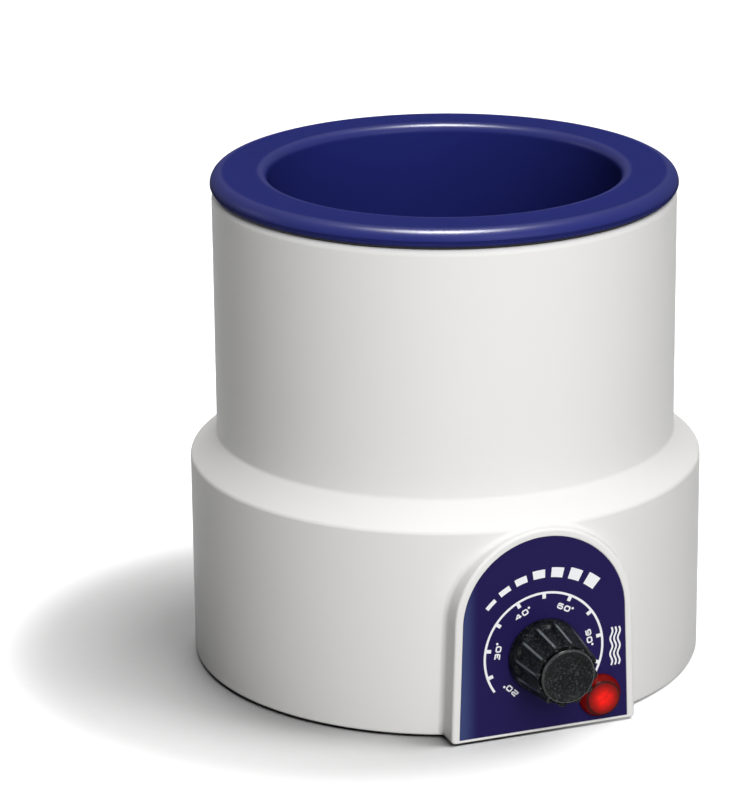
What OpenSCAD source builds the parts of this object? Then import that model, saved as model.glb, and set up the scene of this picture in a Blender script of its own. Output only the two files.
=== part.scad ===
// Electric warmer for a round wax can: a stepped moulded housing, a flanged metal well with a
// band heater around it, and a dial thermostat with a pilot lamp on a flat front panel.
// Millimetres. +Z is up, the origin is on the well's axis at the plane the feet stand on, and
// the control panel faces -Y.

/* [Housing] */
// Distance from the well's wall to the outside of the upper body
jacket_w = 18.8; // [18:0.1:20]
// How much further out the lower body stands than the upper one
step_w = 9.2; // [7:0.2:11]
// Height of the housing from its bottom edge to its top deck
housing_h = 163.5; // [160:0.5:168]
// Height of the shoulder's lower edge above the housing's bottom edge
shoulder_z = 71.1; // [70.8:0.1:74]
// Height that the shoulder climbs from the lower body to the upper one
shoulder_rise = 8.2; // [7:0.2:12]
// Thickness of the moulded walls
wall = 2.5; // [2:0.1:3]
// Radius of the housing's top outer edge
top_round = 2; // [1:0.1:2.4]
// Radius of the shoulder's convex lower edge
shoulder_round = 2; // [1.5:0.5:6]
// Radius of the hollow corner where the upper body rises from the shoulder
shoulder_fillet = 1.6; // [0.6:0.2:3]
// Radius of the housing's bottom outer edge
bottom_round = 0.8; // [0.6:0.1:2.4]

/* [Well pot] */
// Inside diameter of the well that takes the can
well_d = 120; // [118:0.5:121]
// Depth of the well from the top of the rim to its floor
well_depth = 110; // [104:1:114]
// Thickness of the pot's sheet
pot_wall = 1.5; // [1.2:0.1:1.8]
// How far the rolled rim stands out over the upper body
rim_overhang = 0.5; // [0:0.1:1.2]
// Height of the rolled rim
rim_h = 6; // [6:0.1:7]
// Radius of the rim's top outer edge
rim_round = 4; // [3:0.1:4]
// Radius of the rim's curled bottom edge
curl_round = 2; // [1.6:0.1:2]
// Radius of the lip that turns down into the well
lip_round = 3; // [2.5:0.1:4]
// How far the rim's flat top dips between the lip and the outer edge
rim_dish = 0.5; // [0.2:0.1:0.8]
// Inside radius between the well's wall and its floor
floor_round = 6; // [4:0.5:10]
// Thickness of the seal ring under the rim
seal_t = 1; // [0.8:0.1:1.6]
// Width of the seal ring
seal_w = 7; // [5:0.5:9]
// How far the seal ring stands back from the rim's outer edge
seal_inset = 2.4; // [2:0.1:3]

/* [Control panel] */
// Width of the panel at its bottom edge
panel_w = 65.4; // [62:0.2:68]
// Height of the panel's arched top above the housing's bottom edge
panel_top = 71.2; // [69.6:0.1:71.4]
// How much narrower each side of the panel is where the arch begins
panel_draft = 1.3; // [0.6:0.1:2]
// How far the panel's face stands out beyond the lower body
panel_proud = 2.4; // [1.6:0.1:4]
// Thickness of the panel's front wall
panel_t = 3; // [2.6:0.1:4]
// Width of the raised border at the panel's sides and top
border_w = 2.7; // [2:0.1:3.4]
// Height of the raised border below the label
border_bottom = 1; // [0.6:0.1:1.6]
// Depth of the recess that holds the label
label_recess = 0.5; // [0.4:0.05:0.8]
// Thickness of the label
label_t = 0.3; // [0.2:0.05:0.4]

/* [Knob and thermostat] */
// Height of the dial's centre above the housing's bottom edge
dial_z = 27.2; // [26:0.1:31]
// Height of the knob's front above the panel's face
knob_h = 20.6; // [19:0.2:25]
// Diameter of the knob at its base
knob_d = 26; // [23:0.5:26.5]
// Diameter of the knob's fluted skirt at its front end
knob_front_d = 22; // [20.6:0.2:23]
// Diameter of the round cap on the knob's front
knob_cap_d = 19.6; // [18:0.2:20]
// Number of grooves around the knob
knob_flutes = 12; // [10:1:14]
// Angle on the scale that the knob's pointer stands at, anticlockwise from the right
knob_points_at = 117; // [-45:27:225]
// Radius of the grooves' hollows
knob_groove_r = 2.6; // [2:0.1:3]
// Gap between the knob and the label
knob_gap = 0.6; // [0.4:0.1:1.2]
// Diameter of the thermostat's spindle
spindle_d = 6; // [5:0.5:6.4]
// Spacing of the two thermostat screws
thermostat_pitch = 28; // [26:0.5:29]
// Width and height of the thermostat's case
case_w = 34; // [32:0.5:35]
// Depth of the thermostat's case
case_depth = 20; // [19.5:0.5:23]
// Thickness of the thermostat's mounting plate
plate_t = 1.5; // [1.2:0.1:2]
// Thickness of the thermostat's rear cover
thermostat_cover_t = 2.5; // [2:0.1:3]

/* [Pilot lamp] */
// Distance of the pilot lamp's flange from the panel's raised border
pilot_margin = 3; // [2.7:0.1:3.5]
// Height of the pilot lamp above the housing's bottom edge
pilot_z = 10; // [9.8:0.1:10.4]
// Diameter of the lamp's flange
pilot_d = 14.6; // [13:0.2:14.8]
// Height of the lens above the panel's face
pilot_h = 3.8; // [3.6:0.1:6]
// How much narrower each side of the lens is at its front than at its flange
pilot_taper = 1.5; // [1:0.1:1.8]

/* [Heater and pot fittings] */
// Height of the band heater
band_h = 50; // [40:1:56]
// Thickness of the band heater
band_t = 3; // [2.4:0.1:3.6]
// Distance from the pot's floor up to the heater band
band_lift = 14; // [10:0.5:20]
// Thickness of the insulation sleeve
sleeve_t = 5; // [3:0.5:7]
// Diameter of the thermostat's sensing bulb
bulb_d = 6; // [5:0.2:7]
// Length of the sensing bulb
bulb_l = 56; // [50:1:60]
// Diameter of the rod that ties the pot to the base
tie_d = 5; // [4:0.5:6]

/* [Base and cord entry] */
// How far the rubber foot ring stands out below the housing's bottom edge
foot_proud = 0.7; // [0.6:0.1:2]
// Width of the foot ring
foot_w = 8; // [6:0.5:10]
// Inside radius of the foot ring
foot_r = 57; // [55:0.5:60]
// Thickness of the base cover
cover_t = 2.5; // [2.3:0.1:3.2]
// How far the base cover is set up into the housing
cover_sink = 0.6; // [0.4:0.1:1.2]
// Distance of the base screws from the outside of the lower body
screw_inset = 11; // [10:0.5:13]
// Height of the cord entry above the housing's bottom edge
cord_z = 16.5; // [14:0.5:24]
// Bore of the bush that the mains cord passes through
cord_bore_d = 6.6; // [6:0.1:8]
// Outside diameter of the bush's flange
gland_d = 17; // [16:0.5:20]

/* [Hidden] */
$fn = 96;

// Clearances: a pushed-together fit, a running fit, and a gap between parts that only meet
slip = 0.1;
run = 0.05;
apart = 0.3;
// Overshoot of a cut past the face it opens
eps = 1;

// Heights and radii that follow from the sizes above
z_base = foot_proud;
z_deck = z_base + housing_h;
z_shoulder = z_base + shoulder_z;
r_well = well_d / 2;
r_up = r_well + jacket_w;
r_low = r_up + step_w;
z_curl = z_deck + seal_t;
z_rim = z_curl + rim_h;
z_floor = z_rim - well_depth;
z_pot = z_floor - pot_wall;
r_pot = r_well + pot_wall;
r_rim = r_up + rim_overhang;
r_seal = r_rim - seal_inset;
face_y = r_low + panel_proud;
z_dial = z_base + dial_z;
z_pilot = z_base + pilot_z;
z_cover = z_base + cover_sink;
z_cover_top = z_cover + cover_t;
r_cover = r_low - wall - slip;
label_h = label_t - label_recess;
screw_r = r_low - screw_inset;
pilot_x = panel_w / 2 - border_w - pilot_margin - pilot_d / 2;

// Points of an arc about c, from angle a0 to a1
function arc(c, r, a0, a1, n = 8) =
    [for (i = [0:n]) let (a = a0 + (a1 - a0) * i / n) c + r * [cos(a), sin(a)]];

// A frame on the panel's face: X to the right, Y up, Z outwards from the face
module on_panel(x = 0, z = 0, h = 0) {
    translate([x, -face_y - h, z]) rotate([90, 0, 0]) children();
}

// A cylinder along the panel's normal, from height h0 to h1 over the face
module panel_rod(r, h0, h1) {
    translate([0, 0, h0]) cylinder(h = h1 - h0, r = r);
}

// A cylinder along Y from y0 to y1
module y_rod(r, y0, y1) {
    translate([0, y0, 0]) rotate([-90, 0, 0]) cylinder(h = y1 - y0, r = r);
}

// A flat bar with a round hole near its end, standing on z = 0
module blade_tab(w, t, l) {
    difference() {
        translate([-w / 2, -t / 2, 0]) cube([w, t, l]);
        translate([0, -t, l - 2.4]) rotate([-90, 0, 0]) cylinder(h = 2 * t, r = 0.8);
    }
}

// An insulated push-on connector over such a bar, with its far end at l + sleeve_past
module push_on(w, t, l) {
    difference() {
        translate([-w / 2 - 0.7, -1.4, 1]) cube([w + 1.4, 2.8, l + sleeve_past - 1]);
        translate([-w / 2 - slip, -t / 2 - slip, 0]) cube([w + 2 * slip, t + 2 * slip, l + slip]);
    }
}

tab_w = 6.3;
tab_t = 0.8;
tab_l = 8;
small_tab_w = 4.8;
small_tab_l = 7;
sleeve_past = 3;

// ---- housing -------------------------------------------------------------------------------

deck_r = r_pot + 1.2;
pocket_floor = z_cover_top + 0.5;
boss_r = 4.2;
base_screw_shank = 1.6;
spring_z = panel_top - (panel_w / 2 - panel_draft);
thermostat_hole = spindle_d / 2 + 2;
pilot_neck = 4.6;
gland_neck = 6;
gland_seat_y = r_low - 0.5;
screw_angles = [45, 135, 225, 315];

// Outside of the housing's section, from its bottom edge to its top deck
function housing_outer() = concat(
    arc([r_low - bottom_round, z_base + bottom_round], bottom_round, -90, 0),
    shoulder_points(r_low, r_up, z_shoulder, shoulder_round),
    arc([r_up - top_round, z_deck - top_round], top_round, 0, 90));

// The convex corner at the shoulder's lower edge, then the hollow one where the upper body starts
function shoulder_points(rl, ru, z, round_r) =
    let (slope = atan2(shoulder_rise, rl - ru),
         bend = tan((90 - slope) / 2),
         top = [ru + shoulder_fillet, z + shoulder_rise + shoulder_fillet * bend])
    concat(arc([rl - round_r, z - round_r * bend], round_r, 0, 90 - slope),
        arc(top, shoulder_fillet, 270 - slope, 180));

module housing_shell() {
    inner_low = r_low - wall;
    inner_up = r_up - wall;
    rotate_extrude() polygon(concat(
        housing_outer(),
        [[deck_r, z_deck], [deck_r, z_deck - wall], [inner_up, z_deck - wall]],
        [[inner_up, z_shoulder + shoulder_rise - wall / 2], [inner_low, z_shoulder - wall / 2],
         [inner_low, z_base]]));
}

// Outline of the panel, moved inwards by d at the sides and top and by floor_d at the bottom
module panel_outline(d, floor_d) {
    half = panel_w / 2 - d;
    arch_z = z_base + spring_z;
    translate([0, arch_z]) circle(r = half - panel_draft);
    polygon([[-half, z_base + floor_d], [half, z_base + floor_d],
        [half - panel_draft, arch_z], [-half + panel_draft, arch_z]]);
}

module screw_boss(a) {
    rotate(a) {
        translate([screw_r, 0, z_cover_top]) cylinder(h = 30, r = boss_r);
        translate([screw_r, -1, z_cover_top]) cube([r_low - wall / 2 - screw_r, 2, 30]);
    }
}

module housing() color("white") {
    difference() {
        union() {
            housing_shell();
            difference() {
                on_panel(h = -26) linear_extrude(26) panel_outline(0, 0);
                translate([0, 0, z_base - eps]) cylinder(h = housing_h, r = r_low - wall / 2);
            }
            for (a = screw_angles) screw_boss(a);
        }
        // the hollow behind the panel
        on_panel(h = -30) linear_extrude(30 - panel_t) intersection() {
            panel_outline(wall, wall);
            translate([-panel_w, pocket_floor]) square([2 * panel_w, panel_top]);
        }
        on_panel(h = -label_recess) linear_extrude(eps + label_recess)
            panel_outline(border_w, border_bottom);
        on_panel(z = z_dial) panel_rod(thermostat_hole, -panel_t - eps, eps);
        on_panel(x = pilot_x, z = z_pilot) panel_rod(pilot_neck + slip, -panel_t - eps, eps);
        for (s = [-1, 1]) on_panel(x = s * thermostat_pitch / 2, z = z_dial) screw_sink(slip);
        for (a = screw_angles) rotate(a) translate([screw_r, 0, z_cover_top - eps])
            cylinder(h = 22 + eps, r = base_screw_shank);
        // the flat and the hole for the cord's bush
        translate([0, 0, z_base + cord_z]) {
            y_rod(gland_d / 2 + apart, gland_seat_y, r_low + eps);
            y_rod(gland_neck + slip, r_low - wall - 4, r_low + eps);
        }
    }
}

// ---- pot and seal --------------------------------------------------------------------------

z_lip = z_rim - lip_round;
r_bead = r_rim - rim_round;
r_curl = r_rim - curl_round;
curl_w = 3.4;

module pot() color("navy") rotate_extrude() polygon(concat(
    // inside of the well, from the floor up over the lip and out to the rolled edge
    [[0, z_floor]],
    arc([r_well - floor_round, z_floor + floor_round], floor_round, -90, 0),
    arc([r_well + lip_round, z_lip], lip_round, 180, 90),
    [[(r_well + lip_round + r_bead) / 2, z_rim - rim_dish]],
    arc([r_bead, z_rim - rim_round], rim_round, 90, 0),
    arc([r_curl, z_curl + curl_round], curl_round, 0, -90),
    // underside, back to the outside of the well
    [[r_curl - curl_w, z_curl], [r_curl - curl_w, z_curl + pot_wall]],
    arc([r_curl, z_curl + curl_round], curl_round - pot_wall, -90, 0, 4),
    arc([r_bead, z_rim - rim_round], rim_round - pot_wall, 0, 90),
    [[(r_well + lip_round + r_bead) / 2, z_rim - rim_dish - pot_wall]],
    arc([r_well + lip_round, z_lip], lip_round - pot_wall, 90, 180, 5),
    arc([r_well - floor_round, z_floor + floor_round], floor_round + pot_wall, 0, -90),
    [[0, z_pot]]));

module seal_ring() color("black") translate([0, 0, z_deck]) difference() {
    cylinder(h = seal_t, r = r_seal);
    translate([0, 0, -eps]) cylinder(h = seal_t + 2 * eps, r = r_seal - seal_w);
}

// ---- label, knob and thermostat ------------------------------------------------------------

screw_head = 3.8;
screw_shank = 2;
plate_half = 9;
plate_w = thermostat_pitch + 2 * (screw_shank + 2);
case_front_t = 6;
case_wall = 2.5;
// the case's corners are cut back to leave room for the lamp's body beside one of them
lamp_room = 2;
case_corner = case_w - pilot_x - dial_z + pilot_z + sqrt(2) * (pilot_neck + lamp_room);
bush_r = 5;
bush_l = 9;
h_plate = -panel_t - plate_t;
h_case = h_plate - case_depth;
h_cover = h_case - thermostat_cover_t;
spindle_r = spindle_d / 2;
knob_grip_top = knob_h - 3;
knob_slope = atan2((knob_d - knob_front_d) / 2, knob_h - 1.6 - label_h - knob_gap);
groove_out = knob_groove_r - 1.1;
drive_r = 2;
drive_l = 3;
h_spindle = h_plate - bush_l;
capsule_r = 7;
capsule_t = 3;
capsule_hub_r = 3.5;
capsule_travel = 0.75;
h_capsule = h_spindle - 0.6 - capsule_travel;
blade_l = 20;
blade_w = 6;
blade_t = 0.4;
h_blade = h_capsule - drive_l - capsule_t - 0.5;

// A countersunk screw's shape on the panel, grown by g
module screw_sink(g) {
    panel_rod(screw_head + g, -label_recess - 0.3 - g, g ? eps : -label_recess);
    translate([0, 0, -panel_t + 0.4 - g])
        cylinder(h = panel_t - 0.7 - label_recess + g, r1 = screw_shank + g, r2 = screw_head + g);
    panel_rod(screw_shank + g, -panel_t - plate_t - 1 - g, -panel_t + 0.4);
}

module control_label() color("midnightblue") difference() {
    on_panel(h = -label_recess) linear_extrude(label_t)
        panel_outline(border_w + slip, border_bottom + slip);
    on_panel(z = z_dial) panel_rod(thermostat_hole, -panel_t, eps);
    on_panel(x = pilot_x, z = z_pilot) panel_rod(pilot_neck + slip, -panel_t, eps);
}

module knob() color("black") on_panel(z = z_dial) difference() {
    union() {
        translate([0, 0, label_h + knob_gap]) cylinder(
            h = knob_h - 1.6 - label_h - knob_gap, r1 = knob_d / 2, r2 = knob_front_d / 2);
        panel_rod(knob_cap_d / 2, knob_h - 2, knob_h - 0.8);
        rotate(knob_points_at) translate([knob_front_d / 2 - 2, -0.7, label_h + knob_gap])
            cube([2.5, 1.4, knob_h - 4]);
        translate([0, 0, knob_h - 0.8])
            cylinder(h = 0.8, r1 = knob_cap_d / 2, r2 = knob_cap_d / 2 - 0.8);
    }
    // grooves, with a full ridge left between two of them as the pointer
    for (i = [0:knob_flutes - 1]) rotate(knob_points_at + (i + 0.5) * 360 / knob_flutes)
        translate([knob_d / 2 + groove_out, 0, label_h + knob_gap])
            rotate([0, -knob_slope, 0]) translate([0, 0, 4])
                cylinder(h = knob_h, r = knob_groove_r);
    // the socket for the spindle, and the hollow that clears the panel hole
    difference() {
        panel_rod(spindle_r + 0.02, -eps, knob_grip_top);
        translate([-spindle_r, spindle_r - 1.4, 3]) cube([spindle_d, spindle_d, knob_h]);
    }
    panel_rod(thermostat_hole + 1, -eps, 3);
}

module spindle() color("gainsboro") on_panel(z = z_dial) difference() {
    union() {
        panel_rod(spindle_r, h_spindle, knob_grip_top - 0.2);
        panel_rod(drive_r, h_spindle - drive_l, h_spindle);
    }
    translate([-spindle_r, spindle_r - 1.45, 2.8]) cube([spindle_d, spindle_d, knob_h]);
}

module spindle_bush() color("goldenrod") on_panel(z = z_dial) difference() {
    panel_rod(bush_r, h_spindle + 0.4, h_plate);
    panel_rod(spindle_r + run, h_spindle - eps, eps);
}

module thermostat_plate() color("silver") on_panel(z = z_dial) difference() {
    translate([-plate_w / 2, -plate_half, h_plate]) cube([plate_w, 2 * plate_half, plate_t]);
    panel_rod(spindle_r + 0.3, h_plate - eps, eps);
    for (s = [-1, 1]) translate([s * thermostat_pitch / 2, 0, 0])
        panel_rod(screw_shank + run, h_plate - eps, eps);
}

// A square of side w with its corners cut off
module cut_square(w, corner) {
    half = w / 2;
    near = half - corner;
    polygon([[-near, -half], [near, -half], [half, -near], [half, near],
        [near, half], [-near, half], [-half, near], [-half, -near]]);
}

module thermostat_case() color("saddlebrown") on_panel(z = z_dial) difference() {
    translate([0, 0, h_case]) linear_extrude(case_depth) cut_square(case_w, case_corner);
    translate([0, 0, h_case - eps]) linear_extrude(case_depth - case_front_t + eps)
        cut_square(case_w - 2 * case_wall, case_corner - case_wall / 2);
    panel_rod(bush_r + run, h_case, eps);
    for (s = [-1, 1]) translate([s * thermostat_pitch / 2, 0, 0])
        panel_rod(screw_shank + apart, h_plate - 2, eps);
    // the hole where the capillary comes in
    translate([0, 0, capillary_h]) rotate([-90, 0, 0]) cylinder(h = case_w, r = capillary_r + 0.2);
}

module thermostat_cover() color("saddlebrown") on_panel(z = z_dial) difference() {
    translate([0, 0, h_cover]) linear_extrude(thermostat_cover_t)
        cut_square(case_w, case_corner);
    for (p = tab_places) translate([p[0], p[1], 0]) tab_slot();
    translate([contact_x, 0, 0]) panel_rod(1.2 + slip, h_cover - eps, eps);
    translate([-contact_x, 0, 0]) panel_rod(1.2 + slip, h_cover - eps, eps);
}

module thermostat_capsule() color("silver") on_panel(z = z_dial) difference() {
    union() {
        panel_rod(capsule_hub_r, h_capsule - drive_l, h_capsule);
        panel_rod(capsule_r, h_capsule - drive_l - capsule_t, h_capsule - drive_l);
    }
    panel_rod(drive_r + run, h_spindle - drive_l - capsule_travel - 0.8, eps);
}

contact_x = blade_l / 2 - 1;
tab_places = [[-9, 9], [9, 9], [0, -11]];

module tab_slot() {
    translate([-tab_w / 2 - slip, -tab_t / 2 - slip, h_cover - eps])
        cube([tab_w + 2 * slip, tab_t + 2 * slip, thermostat_cover_t + 2 * eps]);
}

// The moving contact: a leaf spring that pivots on its post and carries a rivet at its tip
module contact_blade() color("goldenrod") on_panel(z = z_dial) {
    difference() {
        translate([-blade_l / 2, -blade_w / 2, h_blade - blade_t])
            cube([blade_l, blade_w, blade_t]);
        translate([-contact_x, 0, 0]) panel_rod(0.7, h_blade - 2, h_blade + 2);
    }
    translate([contact_x, 0, 0]) panel_rod(1.4, h_blade, h_blade + 0.6);
}

// The posts that the blade pivots on and makes contact with
module fixed_contact() color("goldenrod") on_panel(z = z_dial) {
    translate([-contact_x, 0, 0]) {
        panel_rod(1.2, h_cover, h_blade - blade_t - slip);
        panel_rod(0.5, h_blade - blade_t - slip, h_blade + 1);
    }
    translate([contact_x, 0, 0]) {
        panel_rod(1.2, h_cover, h_case);
        translate([1.7, -2, h_case]) cube([1.2, 4, h_blade + 1.6 - h_case]);
        translate([-1.2, -2, h_blade + 0.7]) cube([4.1, 4, 0.9]);
        translate([-1.2, -2, h_case]) cube([4.1, 4, 0.6]);
    }
}

module thermostat_tabs() color("goldenrod") on_panel(z = z_dial)
    for (p = tab_places) translate([p[0], p[1], h_case]) mirror([0, 0, 1])
        blade_tab(tab_w, tab_t, thermostat_cover_t + tab_l);

module thermostat_screws() color("silver")
    for (s = [-1, 1]) on_panel(x = s * thermostat_pitch / 2, z = z_dial) screw_sink(0);

// ---- pilot lamp ----------------------------------------------------------------------------

pilot_r = pilot_d / 2;
pilot_cap_r = pilot_r - pilot_taper;
pilot_flange_t = 1.2;
pilot_hollow = pilot_neck - 0.7;
pilot_body_l = 16;
neon_r = 2.6;
h_pilot_end = -panel_t - pilot_body_l;
pilot_tab_x = 2.2;

module pilot_lens() color("red") on_panel(x = pilot_x, z = z_pilot) rotate_extrude()
    polygon(concat(
        [[pilot_hollow, label_h], [pilot_r, label_h], [pilot_r, label_h + pilot_flange_t - 0.4]],
        [[pilot_r - 0.4, label_h + pilot_flange_t]],
        arc([pilot_cap_r - 1, pilot_h - 1], 1, 20, 90),
        [[0, pilot_h], [0, pilot_h - 1.4], [pilot_hollow, pilot_h - 1.4]]));

module neon_bulb() color("orange") on_panel(x = pilot_x, z = z_pilot) rotate_extrude()
    polygon(concat([[0, label_h], [neon_r, label_h]],
        arc([neon_r - 1, pilot_h - 2.8], 1, 0, 90, 4), [[0, pilot_h - 1.8]]));

module pilot_body() color("dimgray") on_panel(x = pilot_x, z = z_pilot) difference() {
    panel_rod(pilot_neck, h_pilot_end, label_h);
    for (s = [-1, 1]) translate([s * pilot_tab_x, 0, h_pilot_end - eps]) rotate(90)
        translate([-small_tab_w / 2 - slip, -tab_t / 2 - slip, 0])
            cube([small_tab_w + 2 * slip, tab_t + 2 * slip, 3 + eps]);
}

module pilot_collar() color("silver") on_panel(x = pilot_x, z = z_pilot) difference() {
    panel_rod(pilot_neck + 1, -panel_t - 0.8, -panel_t);
    panel_rod(pilot_neck + run, -panel_t - 2, eps);
}

module pilot_tabs() color("goldenrod") on_panel(x = pilot_x, z = z_pilot)
    for (s = [-1, 1]) translate([s * pilot_tab_x, 0, h_pilot_end + 2.9]) rotate(90)
        mirror([0, 0, 1]) blade_tab(small_tab_w, tab_t, small_tab_l + 2.9);

// ---- heater and pot fittings ---------------------------------------------------------------

z_band = z_floor + band_lift;
r_band = r_pot + slip;
r_band_out = r_band + band_t;
r_sleeve = r_band_out + apart;
band_gap = 6;
lug_t = 2;
lug_y = r_band_out + 5;
lug_z = z_band + band_h / 2;
post_x = 15;
post_r = 3.6;
post_z = z_band + 7;
post_face = r_band_out + 2;
ring_t = 0.8;
ring_drop = 9;
window_half = 24;

module heater_band() color("silver") {
    difference() {
        translate([0, 0, z_band]) cylinder(h = band_h, r = r_band_out);
        translate([0, 0, z_band - eps]) cylinder(h = band_h + 2 * eps, r = r_band);
        translate([-band_gap / 2, 0, z_band - eps]) cube([band_gap, r_low, band_h + 2 * eps]);
    }
    for (s = [-1, 1]) difference() {
        translate([s * (band_gap + lug_t) / 2 - lug_t / 2, r_band_out - 1, lug_z - 6])
            cube([lug_t, 10, 12]);
        translate([-r_pot, lug_y, lug_z]) rotate([0, 90, 0]) cylinder(h = well_d, r = 2.1);
    }
}

module band_clamp_bolt() color("silver") translate([0, lug_y, lug_z]) rotate([0, 90, 0]) {
    translate([0, 0, -band_gap / 2 - lug_t - 3]) cylinder(h = 3, r = 3.4);
    translate([0, 0, -band_gap / 2 - lug_t]) cylinder(h = band_gap + 2 * lug_t + 5, r = 2);
}

module band_clamp_nut() color("silver") translate([band_gap / 2 + lug_t, lug_y, lug_z])
    rotate([0, 90, 0]) difference() {
        cylinder(h = 3.2, r = 4, $fn = 6);
        translate([0, 0, -eps]) cylinder(h = 6, r = 2 + run);
    }

// Two ceramic posts with their studs, seated on the band beside the clamp
module heater_terminals() color("ivory") for (s = [-1, 1]) difference() {
    translate([s * post_x, 0, post_z]) {
        y_rod(post_r, r_band, post_face);
        y_rod(1.6, r_band, r_band_out + 6);
    }
    cylinder(h = z_deck, r = r_band_out + 0.02);
}

// Crimped eyelets: the ring lies against the post and the barrel points down to its wire
module ring_terminals() color("goldenrod") for (s = [-1, 1])
    translate([s * post_x, post_face, post_z]) difference() {
        union() {
            y_rod(post_r, 0, ring_t);
            translate([-1.4, 0, -post_r - 2]) cube([2.8, ring_t, 3]);
            translate([0, ring_t / 2, -ring_drop]) cylinder(h = ring_drop - post_r - 0.6, r = 1.5);
        }
        y_rod(1.6 + run, -eps, 3);
    }

module heater_nuts() color("silver") for (s = [-1, 1])
    translate([s * post_x, post_face + ring_t, post_z]) difference() {
        rotate([-90, 0, 0]) cylinder(h = 2.4, r = 3.2, $fn = 6);
        y_rod(1.6 + run, -eps, 5);
    }

module insulation_sleeve() color("khaki") translate([0, 0, z_band - 4]) difference() {
    cylinder(h = band_h + 8, r = r_sleeve + sleeve_t);
    translate([0, 0, -eps]) cylinder(h = band_h + 8 + 2 * eps, r = r_sleeve);
    translate([-window_half, 0, -eps]) cube([2 * window_half, r_low, band_h + 8 + 2 * eps]);
}

bulb_y = -24;
bulb_r = bulb_d / 2;
bulb_z = z_pot - bulb_r - run;
clip_t = 0.8;
clip_w = 8;

module sensing_bulb() color("peru") translate([-bulb_l / 2, bulb_y, bulb_z])
    rotate([0, 90, 0]) cylinder(h = bulb_l, r = bulb_r);

module bulb_clips() color("silver") for (s = [-1, 1]) translate([s * 18 - clip_w / 2, bulb_y, 0])
    difference() {
        union() {
            translate([0, 0, bulb_z]) rotate([0, 90, 0])
                cylinder(h = clip_w, r = bulb_r + run + clip_t);
            translate([0, -bulb_r - 7, z_pot - clip_t]) cube([clip_w, bulb_d + 14, clip_t]);
        }
        translate([-eps, 0, bulb_z]) rotate([0, 90, 0])
            cylinder(h = clip_w + 2 * eps, r = bulb_r + run);
        translate([-eps, -bulb_r - run, bulb_z])
            cube([clip_w + 2 * eps, bulb_d + 2 * run, bulb_d]);
        translate([-eps, -foot_r / 2, z_pot]) cube([clip_w + 2 * eps, foot_r, bulb_d]);
    }

cutout_y = 28;
cutout_r = 8;
cutout_cap = 3;
cutout_body = 7;
cutout_pitch = 24;
z_cutout = z_pot - cutout_cap - cutout_body;

module thermal_cutout() color("dimgray") translate([0, cutout_y, 0]) {
    difference() {
        union() {
            translate([0, 0, z_pot - cutout_cap]) cylinder(h = cutout_cap, r = cutout_r);
            translate([-cutout_pitch / 2 - 4, -4, z_pot - cutout_cap - 0.8])
                cube([cutout_pitch + 8, 8, 0.8]);
            translate([0, 0, z_cutout]) cylinder(h = cutout_body, r = cutout_r - 0.4);
        }
        for (s = [-1, 1]) translate([s * cutout_pitch / 2, 0, z_cutout])
            cylinder(h = 20, r = 1.6);
    }
    for (s = [-1, 1]) translate([s * 4, 0, z_cutout]) rotate(90) mirror([0, 0, 1])
        blade_tab(tab_w, tab_t, tab_l);
}

module cutout_studs() color("silver") for (s = [-1, 1])
    translate([s * cutout_pitch / 2, cutout_y, z_pot - 9]) cylinder(h = 9, r = 1.5);

module cutout_nuts() color("silver") for (s = [-1, 1])
    translate([s * cutout_pitch / 2, cutout_y, z_pot - cutout_cap - 0.8 - 2.4]) difference() {
        cylinder(h = 2.4, r = 3.1, $fn = 6);
        translate([0, 0, -eps]) cylinder(h = 5, r = 1.5 + run);
    }

cup_r = 12;
cup_rise = 6;
z_cup = z_cover + cup_rise;
tie_r = tie_d / 2;
nut_t = 4;
nut_r = tie_d * 0.92;
washer_t = 1;
tag_t = 0.8;
weld_t = 1;

module tie_rod() color("silver") {
    translate([0, 0, z_pot - weld_t]) cylinder(h = weld_t, r = tie_r + 3);
    translate([0, 0, z_cup - washer_t - nut_t - 0.5])
        cylinder(h = z_pot - z_cup + washer_t + nut_t, r = tie_r);
}

tag_ring = tie_r + 3.4;
z_tag = z_pot - weld_t - nut_t - tag_t;

// A ring on the rod with a blade for the earth wire's connector
module earth_tag() color("goldenrod") difference() {
    union() {
        translate([0, 0, z_tag]) cylinder(h = tag_t, r = tag_ring);
        translate([tag_ring - 1, 0, z_tag + tag_t / 2]) rotate([90, 0, 90])
            blade_tab(tab_w, tag_t, tab_l + 1);
    }
    cylinder(h = z_pot, r = tie_r + run);
}

module hex_nut(z) translate([0, 0, z]) difference() {
    cylinder(h = nut_t, r = nut_r, $fn = 6);
    translate([0, 0, -eps]) cylinder(h = nut_t + 2 * eps, r = tie_r + run);
}

module tie_washer() color("silver") translate([0, 0, z_cup - washer_t]) difference() {
    cylinder(h = washer_t, r = tie_r + 3.5);
    translate([0, 0, -eps]) cylinder(h = 4, r = tie_r + run);
}

module tie_nuts() color("silver") {
    hex_nut(z_pot - weld_t - nut_t);
    hex_nut(z_tag - nut_t);
    hex_nut(z_cup - washer_t - nut_t);
}

// ---- base cover, feet, terminal block and cord bush ----------------------------------------

block_y = 48;
block_size = [38, 20, 14];
block_lift = 5;
pole_pitch = 12;
block_hole_x = pole_pitch / 2;
z_block = z_cover_top + block_lift;
pole_z = z_block + 5;
pole_r = 2.4;
insert_r = 3.2;
screw_place = 5;
foot_pocket = 1.2;
head_r = 3.2;
head_t = 1.6;
head_pocket = 1.2;
slot_w = 3;

module vent_slot(l) {
    translate([-l / 2, -slot_w / 2, z_cover - eps]) cube([l, slot_w, cover_t + 2 * eps]);
    for (s = [-1, 1]) translate([s * l / 2, 0, z_cover - eps])
        cylinder(h = cover_t + 2 * eps, r = slot_w / 2);
}

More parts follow.
